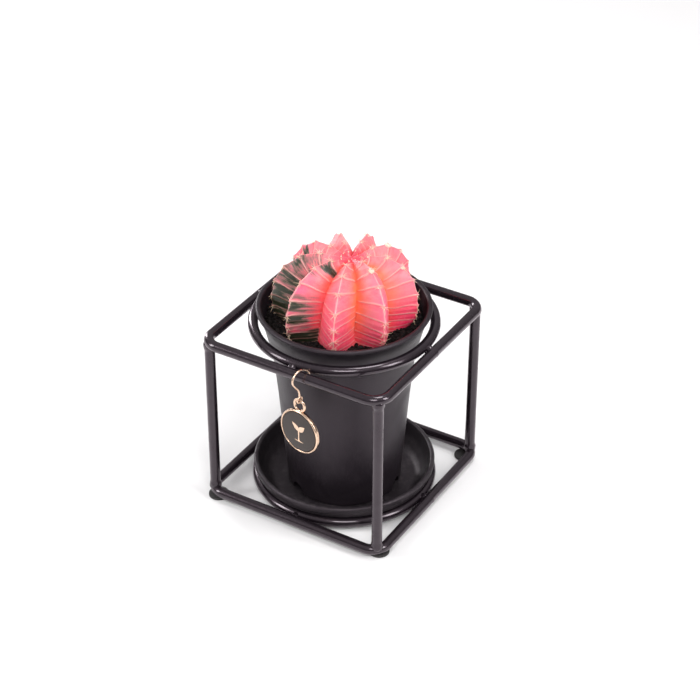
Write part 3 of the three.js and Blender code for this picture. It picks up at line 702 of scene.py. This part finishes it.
# Dark green patches: rib, first and last level, nearest and farthest across, and strength. The
# level of a place is where the line through it leaves the crest.
PATCHES = [
    (0, 23.5, 29.5, 0.02, 0.6, 0.95), (0, 31.5, 38.5, 0.05, 1.4, 1), (0, 41, 46, 0, 1.4, 1.1),
    (0, 47.5, 55, -0.4, 1.4, 1.25), (0, 55.5, 76, -1.3, 1.4, 1.3), (0, 20, 48, -0.2, 1.4, 0.52),
    (0, 12, 22, -0.1, 1.4, 0.36), (0, 45, 76, -0.4, 1.4, 0.85), (0, 12.5, 14.5, 0.3, 0.8, 0.8),
    (0, 27, 33, -0.9, -0.2, 1), (0, 36, 41, -1.3, -0.1, 1), (1, 11.5, 17.5, 0.12, 1.4, 1),
    (1, 10, 19, -0.05, 0.6, 0.6), (1, 38, 44.5, -0.1, 0.64, 0.9),
    (1, 45.5, 50.5, -0.15, 0.76, 1.05), (1, 54.5, 76, -0.2, 1.25, 1.25),
    (1, 21, 25, -0.15, 0.25, 0.6), (1, 34, 66, -0.15, 0.9, 0.36), (1, 34, 52, -1.3, -0.35, 1),
    (8, 25, 30, 0.1, 0.8, 1), (8, 38, 44, 0, 1.3, 1), (8, 50, 62, -0.6, 1.3, 1),
    (8, 31, 34, -0.7, -0.1, 1), (7, 44, 49, -1, -0.3, 1)]
# Orange furrows: how strong the colour is in the furrow after each rib, and how far down it goes.
ORANGE = ((0, 30), (0.4, 32), (1, 50), (0.95, 46), (0.35, 34), (0.15, 30), (0, 30), (0, 30),
          (0, 30))
# How lilac each rib's crest is, and how deep a red its lower half.
LILAC = (0.5, 1.0, 0.45, 0.8, 0.4, 0.3, 0.3, 0.4, 0.5)
REDNESS = (0.2, 0.15, 0.5, 0.6, 1.0, 0.8, 0.5, 0.4, 0.2)
# How far down the pale colour of the shoulder reaches before and after each rib's crest.
PALE_ENDS = ((34, 38), (40, 46), (44, 48), (62, 46), (54, 50), (46, 42), (40, 42), (42, 42),
             (40, 40))
# Half widths of the pale crest, of its lilac, of an orange furrow and of the painted shade in a
# plain furrow, as shares of a flank.
CREST_BAND, LILAC_BAND, ORANGE_BAND, FURROW_SHADE_BAND = 0.034, 0.45, 0.38, 0.3
# Between which distances down the crest each colour comes in or goes.
ORANGE_IN, LILAC_IN, LILAC_OUT, RED_IN = (4, 14), (14, 32), (50, 60), (36, 56)
# The second pair here is where the painted shade in the sunken middle of the crown fades out.
PALE_IN, CROWN_SHADE_OUT = (5, 13), (2, 9)

random = np.random.default_rng(20)
half_columns = np.linspace(0, 1, FLANK_STEPS + 1)[:-1] ** 1.25
columns = np.concatenate([[-1], -half_columns[:0:-1], half_columns])
rows = np.concatenate([[0, 0.8, 1.6, 2.4], np.arange(*FINE_ROWS),
                       np.linspace(FINE_ROWS[1], crest_lengths[-1], 16)])
across, along = np.meshgrid(columns, rows)
out = np.abs(across)
level = along
for _ in range(LEVEL_ROUNDS):
    level = along - slant(level, out)


def green_of(rib):
    """How green a rib's skin is, in patches with ragged ends."""
    green = np.zeros_like(along)
    wavy = level + 0.5 * np.sin(7 * across + 2 * rib)
    ragged = 0.13 * np.sin(2.1 * level + rib) + 0.08 * np.sin(5.3 * level)
    ragged = ragged + 0.05 * np.sin(11 * level)
    for which, start, end, near, far, strength in PATCHES:
        if which == rib:
            band = ease(wavy, start - 1, start + 1.4) * (1 - ease(wavy, end - 2.2, end + 1.2))
            width = ease(across + 0.7 * ragged, near - 0.12, near + 0.16)
            width = width * (1 - ease(across + ragged, far - 0.5, far + 0.2))
            green = np.maximum(green, strength * band * width)
    return green


flanks = []
masks = {}
for rib in range(len(RIBS)):
    relief, line, under = flank_relief(rib, across, along, random)
    for at in areole_places(rib):
        spot = ((along - at) / AREOLE_LONG) ** 2 + (across / AREOLE_WIDE) ** 2
        relief = relief + AREOLE_SWELLING * np.exp(-spot)
    flanks.append(skin_point(rib, across, along, relief))
    orange, orange_end = (np.where(across < 0, before, after)
                          for before, after in zip(ORANGE[rib - 1], ORANGE[rib]))
    orange = orange * np.exp(-((1 - out) / ORANGE_BAND) ** 2) * ease(along, *ORANGE_IN)
    lilac = LILAC[rib] * np.exp(-(across / LILAC_BAND) ** 2) * ease(along, *LILAC_IN)
    pale_end = np.where(across < 0, *PALE_ENDS[rib])
    rib_masks = {
        "line": line, "under": under, "crest": np.exp(-(across / CREST_BAND) ** 2),
        "green": green_of(rib),
        "orange": orange * (1 - ease(along, orange_end - 12, orange_end + 4)),
        "lilac": lilac * (1 - ease(along, *LILAC_OUT)),
        "deep": REDNESS[rib] * ease(level, *RED_IN),
        "pale": ease(along, *PALE_IN) * (1 - ease(along, pale_end - 24, pale_end)),
        # Painted shade along the furrows.
        "furrow": np.exp(-((1 - out) / FURROW_SHADE_BAND) ** 2),
        # Painted shade in the sunken middle of the crown, first on the next line.
        "crown_hollow_shade": 1 - ease(along, *CROWN_SHADE_OUT), "flank": across + 2 * rib, "level": level}
    for label, mask in rib_masks.items():
        masks.setdefault(label, []).append(mask)
skin_points = np.concatenate(flanks, axis=1)
row_count, column_count = skin_points.shape[:2]
skin_masks = {label: np.concatenate(parts, axis=1) for label, parts in masks.items()}

SKIN_CORAL = (0.87, 0.08, 0.13, 1)
SKIN_PALE = (0.92, 0.235, 0.26, 1)
SKIN_ORANGE = (0.98, 0.225, 0.09, 1)
SKIN_LILAC = (0.92, 0.14, 0.27, 1)
SKIN_DEEP = (0.88, 0.028, 0.11, 1)
# A deeper red laid in every furrow as painted shade.
SKIN_FURROW_SHADE = (0.9, 0.075, 0.08, 1)
# Painted shade, laid under the raised lines and in the sunken middle of the crown.
SKIN_SHADE = (0.76, 0.04, 0.085, 1)
SKIN_MAUVE = (0.34, 0.13, 0.135, 1)
SKIN_OLIVE = (0.09, 0.085, 0.05, 1)
SKIN_GREEN = (0.012, 0.017, 0.006, 1)
SKIN_LINE = (0.95, 0.47, 0.42, 1)

cactus_flesh, tree, shader = finish_of("cactus_flesh", {
    "Roughness": 0.42, "Subsurface Weight": 0.12, "Subsurface Scale": 0.0012,
    "Subsurface Radius": (1.0, 0.35, 0.25), "Coat Roughness": 0.3})


def mask_of(tree, label):
    """One of the masks that the mesh carries."""
    return node(tree, "ShaderNodeAttribute", {}, attribute_name=label).outputs["Fac"]


def uneven(tree, value, change, low, high):
    """A mask made uneven by a noise, which multiplies it by low to high."""
    return times(tree, value, spread(tree, change, 0.34, 0.66, low, high))


def streaks_of(tree, across_scale, level_scale, detail):
    """Noise drawn out along the cross ridges of the flanks."""
    place = node(tree, "ShaderNodeCombineXYZ", {
        "X": times(tree, mask_of(tree, "flank"), across_scale),
        "Y": times(tree, mask_of(tree, "level"), level_scale)})
    return noise(tree, 1.0, detail, Vector=place.outputs["Vector"], Roughness=0.62)


cloud = noise(tree, 120.0, 4.0)
speck = noise(tree, 900.0, 5.0)
streak = streaks_of(tree, 1.7, 1.0, 5.0)
blotch = streaks_of(tree, 2.4, 0.3, 3.0)
colour = blended(tree, spread(tree, streak, 0.4, 0.75, 0.0, 0.3), SKIN_CORAL, SKIN_PALE)
for label, change, low, high, laid_over in (
        ("pale", blotch, 0.5, 1.2, SKIN_PALE), ("lilac", cloud, 0.3, 1.0, SKIN_LILAC),
        # The second of these two is painted shade in the furrows.
        ("deep", blotch, 0.55, 1.1, SKIN_DEEP), ("furrow", cloud, 0.5, 0.9, SKIN_FURROW_SHADE),
        # The second of these two is painted shade in the sunken middle of the crown.
        ("orange", cloud, 0.7, 1.15, SKIN_ORANGE), ("crown_hollow_shade", cloud, 0.5, 0.9, SKIN_SHADE),
        # Painted shade just under each raised line.
        ("under", streak, 0.45, 0.85, SKIN_SHADE)):
    share = uneven(tree, mask_of(tree, label), change, low, high)
    colour = blended(tree, share, colour, laid_over)
colour = blended(tree, spread(tree, speck, 0.4, 0.75, 0.0, 0.28), colour, SKIN_PALE)
dark = uneven(tree, uneven(tree, mask_of(tree, "green"), streak, 0.68, 1.28), blotch, 0.7, 1.25)
for low, high, most, laid_over in ((0.05, 0.5, 1.0, SKIN_MAUVE), (0.3, 0.8, 1.0, SKIN_OLIVE),
                                   (0.5, 1.0, 0.95, SKIN_GREEN)):
    colour = blended(tree, spread(tree, dark, low, high, 0.0, most), colour, laid_over)
over_green = spread(tree, dark, 0.3, 1.0, 1.0, 0.42)
for label, low, high, most in (("line", 0.1, 0.95, 0.9), ("crest", 0.2, 1.0, 0.72)):
    share = times(tree, spread(tree, mask_of(tree, label), low, high, 0.0, most), over_green)
    colour = blended(tree, uneven(tree, share, streak, 0.7, 1.0), colour, SKIN_LINE)
feed(tree, shader, {"Base Color": colour, "Normal": relief_from(tree, 1500.0, 0.0001),
                    "Coat Weight": spread(tree, streak, 0.3, 0.7, 0.05, 0.25)})

add_piece("cactus_body", skin_points.reshape(-1, 3), grid_faces(row_count, column_count),
          cactus_flesh, "cactus_skin", ["cactus"], masks=skin_masks, crease=80)

# The areoles: a cushion of cream wool in each notch of a crest, largest near the crown on the right
# of the plant, and one small young one on each rib by the middle of the crown.
WOOL_CREAM = (0.84, 0.58, 0.42, 1)
WOOL_PALE = (0.95, 0.84, 0.72, 1)
TUFT_R = (0.6, 0.8)
LARGE_TUFTS = {(3, 1): 1.35, (4, 2): 1.2, (4, 1): 0.95, (5, 1): 1.5, (5, 2): 1.1, (5, 0): 0.95,
               (6, 1): 1.1}
YOUNG_TUFT_R = (0.16, 0.36)
YOUNG_AT = (3.2, 6.4)
TUFT_SHAPE = (1, 1.1, 0.6)
HAIRS_PER_TUFT = 40
TAPER = 0.93
ASLANT = (0.31, 0.52, 0.79)


def bristles(starts, ways, bends, lengths, radii, sides, steps):
    """Many tapered hairs as points and faces, each bent over its length."""
    side = np.cross(ways, ASLANT)
    side /= np.linalg.norm(side, axis=1)[:, None]
    up = np.cross(ways, side)
    t = np.linspace(0, 1, steps + 1)[None, :, None]
    centres = (ways[:, None] * t + bends[:, None] * t * t) * lengths[:, None, None]
    centres = starts[:, None] + centres
    reach = radii[:, None, None] * (1 - TAPER * t)
    turns = all_round(sides)[None, None, :, None]
    ring = np.cos(turns) * side[:, None, None] + np.sin(turns) * up[:, None, None]
    points = (centres[:, :, None] + reach[:, :, None] * ring).reshape(-1, 3)
    pattern = capped_faces(steps + 1, sides)
    count = (steps + 1) * sides
    return points, [[k * count + corner for corner in face]
                    for k in range(len(starts)) for face in pattern]


def crest_frame(rib, at):
    """A place on a crest, with the directions out of it, sideways and down the rib."""
    zero = np.zeros(1)
    here, ahead, back = (skin_point(rib, zero, np.array([s]), np.array([0.5]))[0]
                         for s in (at, at + 2.5, at - 2.5))
    down = (ahead - back) / np.linalg.norm(ahead - back)
    angle = radians(RIBS[rib][0])
    side = np.array((-sin(angle), cos(angle), 0))
    out = np.cross(down, side)
    return here, out / np.linalg.norm(out), side, down


def tuft(here, out, side, down, radius, random):
    """A woolly cushion: an uneven dome and the hairs that stand out of it."""
    size = radius * np.array(TUFT_SHAPE)
    points, faces = lump(random, size, 3, 0.22)
    to_place = np.stack([side, down, out])
    dome = points @ to_place + here
    hairs = random.normal(size=(HAIRS_PER_TUFT, 3))
    hairs[:, 2] = np.abs(hairs[:, 2]) + 0.25
    hairs /= np.linalg.norm(hairs, axis=1)[:, None]
    starts = hairs * size * 0.85
    bends = random.normal(size=hairs.shape) * 0.5
    lengths = radius * random.uniform(0.45, 0.95, HAIRS_PER_TUFT)
    radii = random.uniform(0.05, 0.09, HAIRS_PER_TUFT)
    fluff = bristles(starts @ to_place + here, hairs @ to_place, bends @ to_place, lengths, radii,
                     3, 3)
    return [(dome, faces), fluff]


areoles = []
for rib in range(len(RIBS)):
    for number, at in enumerate(areole_places(rib)):
        if at < AREOLE_END:
            size = LARGE_TUFTS.get((rib, number), random.uniform(*TUFT_R))
            areoles.append((*crest_frame(rib, at), size))
    young_at = random.uniform(*YOUNG_AT)
    areoles.append((*crest_frame(rib, young_at), random.uniform(*YOUNG_TUFT_R)))

areole_wool, tree, shader = finish_of("areole_wool", {
    "Roughness": 0.85, "Sheen Weight": 0.4, "Sheen Roughness": 0.5})
strands = spread(tree, noise(tree, 1100.0, 4.0), 0.35, 0.65)
feed(tree, shader, {"Base Color": blended(tree, strands, WOOL_CREAM, WOOL_PALE),
                    "Normal": relief_from(tree, 4200.0, 0.00012)})
wool_parts = [part for areole in areoles for part in tuft(*areole, random)]
add_piece("cactus_wool", *joined(wool_parts), areole_wool, "cactus_wool", ["cactus"])

# The spines: thin, stiff and slightly bent, cream with browner tips. Up to seven are fanned
# sideways and down round each areole, and up to two short upright ones stand on a young one.
SPINE_FAN = (-118, -78, -40, 36, 76, 116, 2)
YOUNG_SPINES = 2
LOST_SPINES = 0.25
SPINE_LENGTH = (2.3, 3.9)
SPINE_R = 0.145
SPINE_STEPS = 7
SPINE_SIDES = 6
SPINE_CREAM = (0.9, 0.68, 0.48, 1)
SPINE_BROWN = (0.52, 0.27, 0.12, 1)

spine_horn, tree, shader = finish_of("spine_horn", {
    "Roughness": 0.4, "Subsurface Weight": 0.1, "Subsurface Scale": 0.0006})
browner = times(tree, spread(tree, mask_of(tree, "tip"), 0.45, 1.0),
                spread(tree, noise(tree, 420.0, 3.0), 0.3, 0.7))
feed(tree, shader, {"Base Color": blended(tree, browner, SPINE_CREAM, SPINE_BROWN),
                    "Normal": relief_from(tree, 2400.0, 0.00003)})

starts, ways, bends, lengths = [], [], [], []
for here, out, side, down, size in areoles:
    young = size < min(TUFT_R)
    for degrees in SPINE_FAN[:YOUNG_SPINES] if young else SPINE_FAN:
        if random.uniform() < LOST_SPINES:
            continue
        turn = radians(degrees + random.uniform(-14, 14))
        tilt = radians(random.uniform(50, 75) if young else random.uniform(16, 44))
        flat = down * cos(turn) + side * sin(turn)
        starts.append(here + out * 0.15 + flat * size * 0.35)
        ways.append(flat * cos(tilt) + out * sin(tilt))
        bends.append(-out * random.uniform(0.05, 0.3) + side * random.uniform(-0.12, 0.12))
        lengths.append((0.5 if young else 1.0) * random.uniform(*SPINE_LENGTH))
lengths = np.array(lengths)
radii = SPINE_R * (0.7 + 0.3 * lengths / max(SPINE_LENGTH))
points, faces = bristles(np.array(starts), np.array(ways), np.array(bends), lengths, radii,
                         SPINE_SIDES, SPINE_STEPS)
tips = np.tile(np.repeat(np.linspace(0, 1, SPINE_STEPS + 1), SPINE_SIDES), len(starts))
add_piece("cactus_spines", points, faces, spine_horn, "cactus_spine", ["cactus"],
          masks={"tip": tips})

# The soil: dark granular potting mix, filled to just under the collar and pressed round the plant,
# with loose crumbs of peat and bark on top.
CRUMBS = 2600
CRUMB_SIZE = (0.35, 1.05)
FINE_CRUMB = 0.9
SOIL_EDGE_R = 36.4
SOIL_HOLE_R = 17
SOIL_RING = 0.6
SOIL_GAP = 0.3
SOIL_SIDES = 180
BELOW_SHOULDER = 30
SOIL_BLACK = (0.0035, 0.0026, 0.0027, 1)
SOIL_BROWN = (0.012, 0.0085, 0.0075, 1)
SOIL_GREY = (0.05, 0.042, 0.04, 1)

potting_mix, tree, shader = finish_of("potting_mix", {"Specular IOR Level": 0.2})
broad = noise(tree, 380.0, 5.0)
close = noise(tree, 2100.0, 3.0)
mixed = blended(tree, spread(tree, broad, 0.38, 0.68), SOIL_BLACK, SOIL_BROWN)
feed(tree, shader, {
    "Base Color": blended(tree, spread(tree, close, 0.6, 0.78, 0.0, 0.5), mixed, SOIL_GREY),
    "Roughness": spread(tree, close, 0.3, 0.7, 0.5, 0.9),
    "Normal": relief_from(tree, 1300.0, 0.0004)})


def stem_radius(angles):
    """How far the cactus reaches at soil level, at each angle."""
    rim = []
    for column in range(column_count):
        line = skin_points[:, column]
        x, y, _ = line[np.argmax((line[:, 2] < SOIL_Z) & (rows > BELOW_SHOULDER))]
        rim.append((np.arctan2(y, x), np.hypot(x, y)))
    rim = np.array(sorted(rim))
    return np.interp(angles, rim[:, 0], rim[:, 1], period=2 * pi)


soil_wall = [(radius - SOIL_GAP, z) for radius, z in pot_inside if z < SOIL_Z - 1]
soil_line = [(0, POT_FLOOR_Z + SOIL_GAP), (soil_wall[0][0], POT_FLOOR_Z + SOIL_GAP),
             *soil_wall[1:], (SOIL_EDGE_R, SOIL_Z - 0.6)]
soil_line += [(radius, SOIL_Z) for radius in np.arange(SOIL_EDGE_R - 0.8, SOIL_HOLE_R, -SOIL_RING)]
soil_line += [(SOIL_HOLE_R - 1, SOIL_Z - 4), (0, SOIL_Z - 5)]
soil_points, soil_faces = turned(soil_line, SOIL_SIDES)
on_top = soil_points[:, 2] > SOIL_Z - 0.9
on_top &= np.hypot(soil_points[:, 0], soil_points[:, 1]) > SOIL_HOLE_R
soil_points[on_top, 2] += random.uniform(-0.45, 0.35, on_top.sum())
soil_parts = [(soil_points, soil_faces)]
angles = random.uniform(-pi, pi, CRUMBS)
inner = stem_radius(angles) - 0.6
reach = np.sqrt(random.uniform(inner ** 2, (SOIL_EDGE_R - 0.2) ** 2))
for angle, radius in zip(angles, reach):
    size = random.uniform(*CRUMB_SIZE) ** 1.2
    points, faces = lump(random, size * random.uniform(0.6, 1.1, 3),
                         2 if size > FINE_CRUMB else 1, 0.45)
    tilt = Matrix.Rotation(random.uniform(0, 2 * pi), 3, Vector(random.normal(size=3)))
    height = SOIL_Z + random.uniform(-0.2, 0.9) * size
    spot = (radius * cos(angle), radius * sin(angle), height)
    soil_parts.append((points @ np.array(tilt) + spot, faces))
add_piece("soil_fill", *joined(soil_parts), potting_mix, "potting_soil", ["soil"], crease=28)

# The hook: one length of round rose gold wire, bent over the front bar like an ear wire, with its
# end curled round into an eye.
TAG_X = 8
TAG_TURN = radians(-10)
HOOK_WIRE_R = 0.45
HOOK_LINE = [(-2.6, -3.6), (-3.2, -1.6), (-3.2, 0.8), (-2, 2.9), (0.2, 4.5), (2.7, 5.4),
             (5.4, 4.9), (7.4, 3), (7.7, 0.7), (6.3, -1.8), (4.4, -4.2), (3.5, -6.4), (3.3, -8.7)]
HOOK_SIDES = 14
HOOK_TIP = 0.012
CIRCLE_STEPS = 40
EYE_R = 1.5
EYE_OUT = 3.3
EYE_UP = HOOK_LINE[-1][1] - EYE_R
GOLD = (0.82, 0.59, 0.44, 1)
GOLD_DULL = (0.5, 0.32, 0.22, 1)


def hung(points):
    """Points of the tag, given as right, back and up from the bar's centre, turned and placed."""
    return turned_about_axis(np.asarray(points, float), TAG_TURN) + (TAG_X, -LOOP_HALF, LOOP_TOP_Z)


rose_gold, tree, shader = finish_of("rose_gold", {"Metallic": 1.0})
marks = mask_from(tree, rubbed_marks, 420.0)
worn = spread(tree, marks, 0.2, 1.0, 0.0, 0.7)
feed(tree, shader, {"Base Color": blended(tree, worn, GOLD, GOLD_DULL),
                    "Roughness": spread(tree, marks, 0.0, 1.0, 0.16, 0.36),
                    "Normal": relief_from(tree, 1500.0, 0.00005)})

wire_line = drawn_through([(0, -out, up) for out, up in HOOK_LINE], 8)
shares = np.linspace(0, 1, len(wire_line))
rounded = (1 - np.clip(shares / HOOK_TIP, 0, 1)) ** 2
wire_radii = HOOK_WIRE_R * np.sqrt(np.clip(1 - rounded, 0.05, 1))
turns = np.linspace(0, 2 * pi, CIRCLE_STEPS, endpoint=False)
eye_line = np.stack([0 * turns, -EYE_OUT + EYE_R * np.sin(turns),
                     EYE_UP + EYE_R * np.cos(turns)], -1)
hook_parts = [swept(hung(wire_line), wire_radii, HOOK_SIDES),
              swept(hung(eye_line), HOOK_WIRE_R, HOOK_SIDES, closed=True)]
add_piece("charm_hook", *joined(hook_parts), rose_gold, "charm_gold", ["tag_hook"])

# The charm: a cast disc with a raised rim round a shallow pocket on its face, and a closed loop at
# the top that swings in the hook's eye.
CHARM_R = 11.3
CHARM_THICK = 2
CHARM_LOOP_R = 3
CHARM_LOOP_WIRE_R = 0.65
POCKET_R = CHARM_R - 0.9
POCKET_Y = -0.1
DISC_SIDES = 120
CHARM_LOOP_SIDES = 16
CHARM_UP = EYE_UP - 2 * CHARM_LOOP_R - CHARM_R


def facing_front(points):
    """A turned shape laid on its side, so that its axis runs through the charm's face."""
    return hung(np.stack([points[:, 0], points[:, 2] - EYE_OUT, CHARM_UP - points[:, 1]], -1))


half = CHARM_THICK / 2
disc_line = [(0, half), (CHARM_R - 0.4, half), (CHARM_R, half - 0.4), (CHARM_R, 0.4 - half),
             (CHARM_R - 0.4, -half), (POCKET_R + 0.2, -half), (POCKET_R, 0.2 - half),
             (POCKET_R, POCKET_Y), (0, POCKET_Y)]
points, faces = turned(filleted(disc_line, 0.3), DISC_SIDES)
ring_line = np.stack([CHARM_LOOP_R * np.cos(turns), 0 * turns - EYE_OUT,
                      EYE_UP - CHARM_LOOP_R + CHARM_LOOP_R * np.sin(turns)], -1)
charm_parts = [(facing_front(points), faces),
               swept(hung(ring_line), CHARM_LOOP_WIRE_R, CHARM_LOOP_SIDES, closed=True)]
add_piece("charm_disc", *joined(charm_parts), rose_gold, "charm_gold", ["tag_charm"],
          body="charm")

# The charm's face: dark hard enamel filled into the pocket and polished, with a two-leaf sprout
# left standing in the metal.
ENAMEL_GREY = (0.031, 0.02, 0.0165, 1)
ENAMEL_DARK = (0.026, 0.017, 0.014, 1)
ENAMEL_LOW = POCKET_Y - 0.3
ENAMEL_FACE = 0.1 - half
SPROUT_FACE = ENAMEL_FACE - 0.09
LEAF_LENGTH = 5.6
LEAF_HALF = 1.35
LEAF_STEPS = 13
STEM_HALF_HEIGHT = 2.9
STEM_MIDDLE = -2.2
GROUND_HALF_WIDTH = 2.7
GROUND_HALF_HEIGHT = 0.3
GROUND_MIDDLE = -5.2

hard_enamel, tree, shader = finish_of("hard_enamel", {
    "Specular IOR Level": 0.35, "Coat Weight": 0.1, "Coat Roughness": 0.1})
cloudy = spread(tree, noise(tree, 300.0, 4.0), 0.3, 0.7)
marks = mask_from(tree, rubbed_marks, 300.0)
feed(tree, shader, {"Base Color": blended(tree, cloudy, ENAMEL_DARK, ENAMEL_GREY),
                    "Roughness": spread(tree, marks, 0.0, 1.0, 0.3, 0.36),
                    "Normal": relief_from(tree, 500.0, 0.000004)})
enamel_line = [(0, ENAMEL_LOW), (POCKET_R - 0.3, ENAMEL_LOW), (POCKET_R - 0.3, ENAMEL_FACE),
               (0, ENAMEL_FACE)]
points, faces = turned(filleted(enamel_line, 0.12), DISC_SIDES)
add_piece("charm_enamel", facing_front(points), faces, hard_enamel, "charm_enamel",
          ["tag_enamel"], body="charm")


def plate(outline):
    """A thin raised plate on the enamel, from an outline of [right, up] on the face."""
    edge = np.array(outline, float)
    middle = edge.mean(0)
    points = []
    for y, share in ((ENAMEL_LOW, 1.0), (ENAMEL_FACE, 1.0), (SPROUT_FACE, 0.9)):
        ring = middle + (edge - middle) * share
        points += [(right, y - EYE_OUT, CHARM_UP + up) for right, up in ring]
    return hung(points), capped_faces(3, len(outline))


def leaf(turn, length, half_width, root):
    """Lens-shaped leaf from its root, turned from straight up."""
    t = np.linspace(0, 1, LEAF_STEPS)
    bulge = half_width * np.sin(pi * t ** 0.8)
    back = half_width * np.sin(pi * t[-2:0:-1] ** 0.8)
    right = np.concatenate([bulge, -back])
    up = np.concatenate([length * t, length * t[-2:0:-1]])
    return [(root[0] + x * cos(turn) + y * sin(turn), root[1] + y * cos(turn) - x * sin(turn))
            for x, y in zip(right, up)]


t = np.linspace(-1, 1, 12)
stem_right = 0.35 + 0.12 * t ** 2
stem = [(x, STEM_HALF_HEIGHT * y + STEM_MIDDLE) for x, y in zip(stem_right, t)]
stem += [(-x, STEM_HALF_HEIGHT * y + STEM_MIDDLE) for x, y in zip(stem_right, t[::-1])]
ground = [(GROUND_HALF_WIDTH * cos(turn), GROUND_HALF_HEIGHT * sin(turn) + GROUND_MIDDLE)
          for turn in np.linspace(0, 2 * pi, 28, endpoint=False)]
sprout = [leaf(radians(-48), LEAF_LENGTH, LEAF_HALF, (0.1, 0.3)),
          leaf(radians(44), LEAF_LENGTH * 0.92, LEAF_HALF, (-0.1, 0.1)), stem, ground]
add_piece("charm_sprout", *joined([plate(outline) for outline in sprout]), rose_gold, "charm_gold",
          ["tag_enamel"], body="charm")

# The table under the stand: a plain pale sheet, lit by a pale surround and five soft lamps. Here
# places and sizes are in metres, and powers in watts.
FLOOR_PALE = (0.94, 0.935, 0.935, 1)
FLOOR_SHADE = (0.92, 0.915, 0.915, 1)
FLOOR_HALF = 3.0
SURROUND_TINT = (1.0, 0.975, 0.99, 1)

pale_card, tree, shader = finish_of("pale_card", {"Roughness": 0.75})
feed(tree, shader, {"Base Color": blended(tree, noise(tree, 6.0, 3.0), FLOOR_PALE, FLOOR_SHADE)})
floor_mesh = bpy.data.meshes.new("floor")
floor_mesh.from_pydata([(x * FLOOR_HALF, y * FLOOR_HALF, 0)
                        for x, y in ((-1, -1), (1, -1), (1, 1), (-1, 1))], [], [(0, 1, 2, 3)])
floor_mesh.materials.append(pale_card)
floor_sheet = bpy.data.objects.new("floor", floor_mesh)
scene.collection.objects.link(floor_sheet)

surround = bpy.data.worlds.new("pale_surround")
surround.use_nodes = True
tree = surround.node_tree
heading = node(tree, "ShaderNodeTexCoord", {}).outputs["Generated"]
upward = node(tree, "ShaderNodeSeparateXYZ", {"Vector": heading}).outputs["Z"]
feed(tree, tree.nodes["Background"], {
    "Color": SURROUND_TINT, "Strength": spread(tree, upward, -0.1, 0.95, 0.18, 0.56)})
scene.world = surround


def soft_lamp(name, place, size, power):
    """Soft box, given by its width and height, aimed at the object."""
    lamp = bpy.data.lights.new(name, "AREA")
    lamp.shape = "RECTANGLE"
    lamp.size, lamp.size_y = size
    lamp.energy = power
    made = bpy.data.objects.new(name, lamp)
    scene.collection.objects.link(made)
    made.location = place
    made.rotation_euler = (Vector(place) - aim).to_track_quat("Z", "Y").to_euler()


for side, place, size, power in (("left", (-0.85, -0.7, 0.62), (0.3, 0.6), 6.6),
                                 ("right", (0.95, 0.0, 0.65), (0.3, 0.6), 5.6),
                                 ("above", (0.15, 0.2, 1.2), (0.45, 0.3), 4.0),
                                 ("front", (0.5, -0.8, 0.95), (0.5, 0.3), 5.6),
                                 ("edge", (-1.0, 0.45, 0.35), (0.2, 0.5), 3.8)):
    soft_lamp(f"lamp_{side}", place, size, power)
scene.view_settings.view_transform = "Standard"
